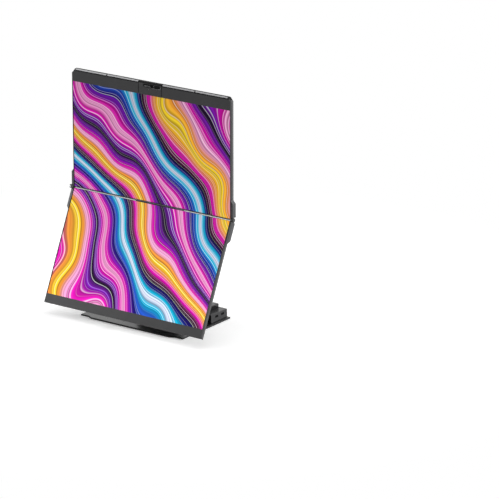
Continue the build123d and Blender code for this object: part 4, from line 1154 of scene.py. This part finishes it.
@as_material
def shadow_floor(tree, shader, tint):
    """Pale floor that keeps the object's shadow near it and is plain white further away."""
    tree.nodes.remove(shader)
    seen = add(tree, "BsdfDiffuse", {"Color": tint})
    lift = add(tree, "Emission", {"Strength": 0.33})
    bright = add(tree, "AddShader", {0: seen.outputs[0], 1: lift.outputs[0]})
    reach = vector(tree, "LENGTH", own_place(tree), output="Value")
    away = remap(tree, reach, FLOOR_NEAR, FLOOR_FAR, interpolation_type="SMOOTHSTEP")
    white = add(tree, "Emission")
    shown = add(tree, "MixShader", {0: away, 1: bright.outputs[0], 2: white.outputs[0]})
    bounce = add(tree, "BsdfDiffuse", {"Color": shade(tint, FLOOR_BOUNCE)})
    both = add(tree, "MixShader", {0: seen_directly(tree), 1: bounce.outputs[0], 2: shown.outputs[0]})
    fill(tree.nodes["Material Output"].inputs[0], both.outputs[0])


class MONITOR_OT_stage(bpy.types.Operator):
    """Pale floor, even sky, softboxes and the camera"""
    bl_idname = "monitor.stage"
    bl_label = "Stage"

    def execute(self, context):
        scene = context.scene
        stage = scene.monitor_stage
        shape = bmesh.new()
        bmesh.ops.create_grid(shape, x_segments=1, y_segments=1, size=40.0)
        mesh = mesh_of("floor", shape)
        mesh.materials.append(shadow_floor("pale_floor", stage.floor))
        floor = put("floor", mesh)
        floor.location.z = -FLOOR_DROP
        scene.world = bpy.data.worlds.new("sky")
        scene.world.use_nodes = True
        tree = scene.world.node_tree
        light = choose(tree, seen_directly(tree), off=stage.sky, on=1.0)
        feed(tree.nodes["Background"], Color=WHITE, Strength=light)
        for i, (place, size, share) in enumerate(SOFTBOXES):
            lamp = bpy.data.lights.new(f"softbox_{i}", "AREA")
            lamp.size = size
            lamp.energy = stage.lamp * share * size * size
            holder = put(lamp.name, lamp)
            holder.location = place
            holder.rotation_euler = (AIM - Vector(place)).to_track_quat("-Z", "Y").to_euler()
        camera = bpy.data.cameras.new("camera")
        camera.lens = stage.lens
        camera.clip_end = 100.0
        holder = put("camera", camera)
        holder.location = stage.camera
        holder.rotation_euler = Vector(stage.look).to_track_quat("-Z", "Y").to_euler()
        scene.camera = holder
        scene.view_settings.view_transform = "Standard"
        return {"FINISHED"}


OPERATORS = (MONITOR_OT_finishes, MONITOR_OT_soft_edges, MONITOR_OT_vent_strips, MONITOR_OT_screw_heads,
             MONITOR_OT_webcam, MONITOR_OT_sockets, MONITOR_OT_hinge_caps, MONITOR_OT_fittings,
             MONITOR_OT_power_button, MONITOR_OT_stage)


class MONITOR_PT_dresser(bpy.types.Panel):
    """Lists the steps and the settings"""
    bl_idname = "MONITOR_PT_dresser"
    bl_label = "Stacked monitor"
    bl_space_type = "VIEW_3D"
    bl_region_type = "UI"
    bl_category = "Monitor"

    def draw(self, context):
        for step in OPERATORS:
            self.layout.operator(step.bl_idname)
        for name, group in SETTINGS.items():
            box = self.layout.box()
            for prop in group.__annotations__:
                box.prop(getattr(context.scene, name), prop)


CLASSES = (*SETTINGS.values(), *OPERATORS, MONITOR_PT_dresser)


def register():
    for item in CLASSES:
        bpy.utils.register_class(item)
    for name, group in SETTINGS.items():
        setattr(bpy.types.Scene, name, PointerProperty(type=group))


def unregister():
    for name in SETTINGS:
        delattr(bpy.types.Scene, name)
    for item in reversed(CLASSES):
        bpy.utils.unregister_class(item)


def main():
    register()
    for step in OPERATORS:
        getattr(bpy.ops.monitor, step.bl_idname.split(".")[1])()


if __name__ == "__main__":
    main()
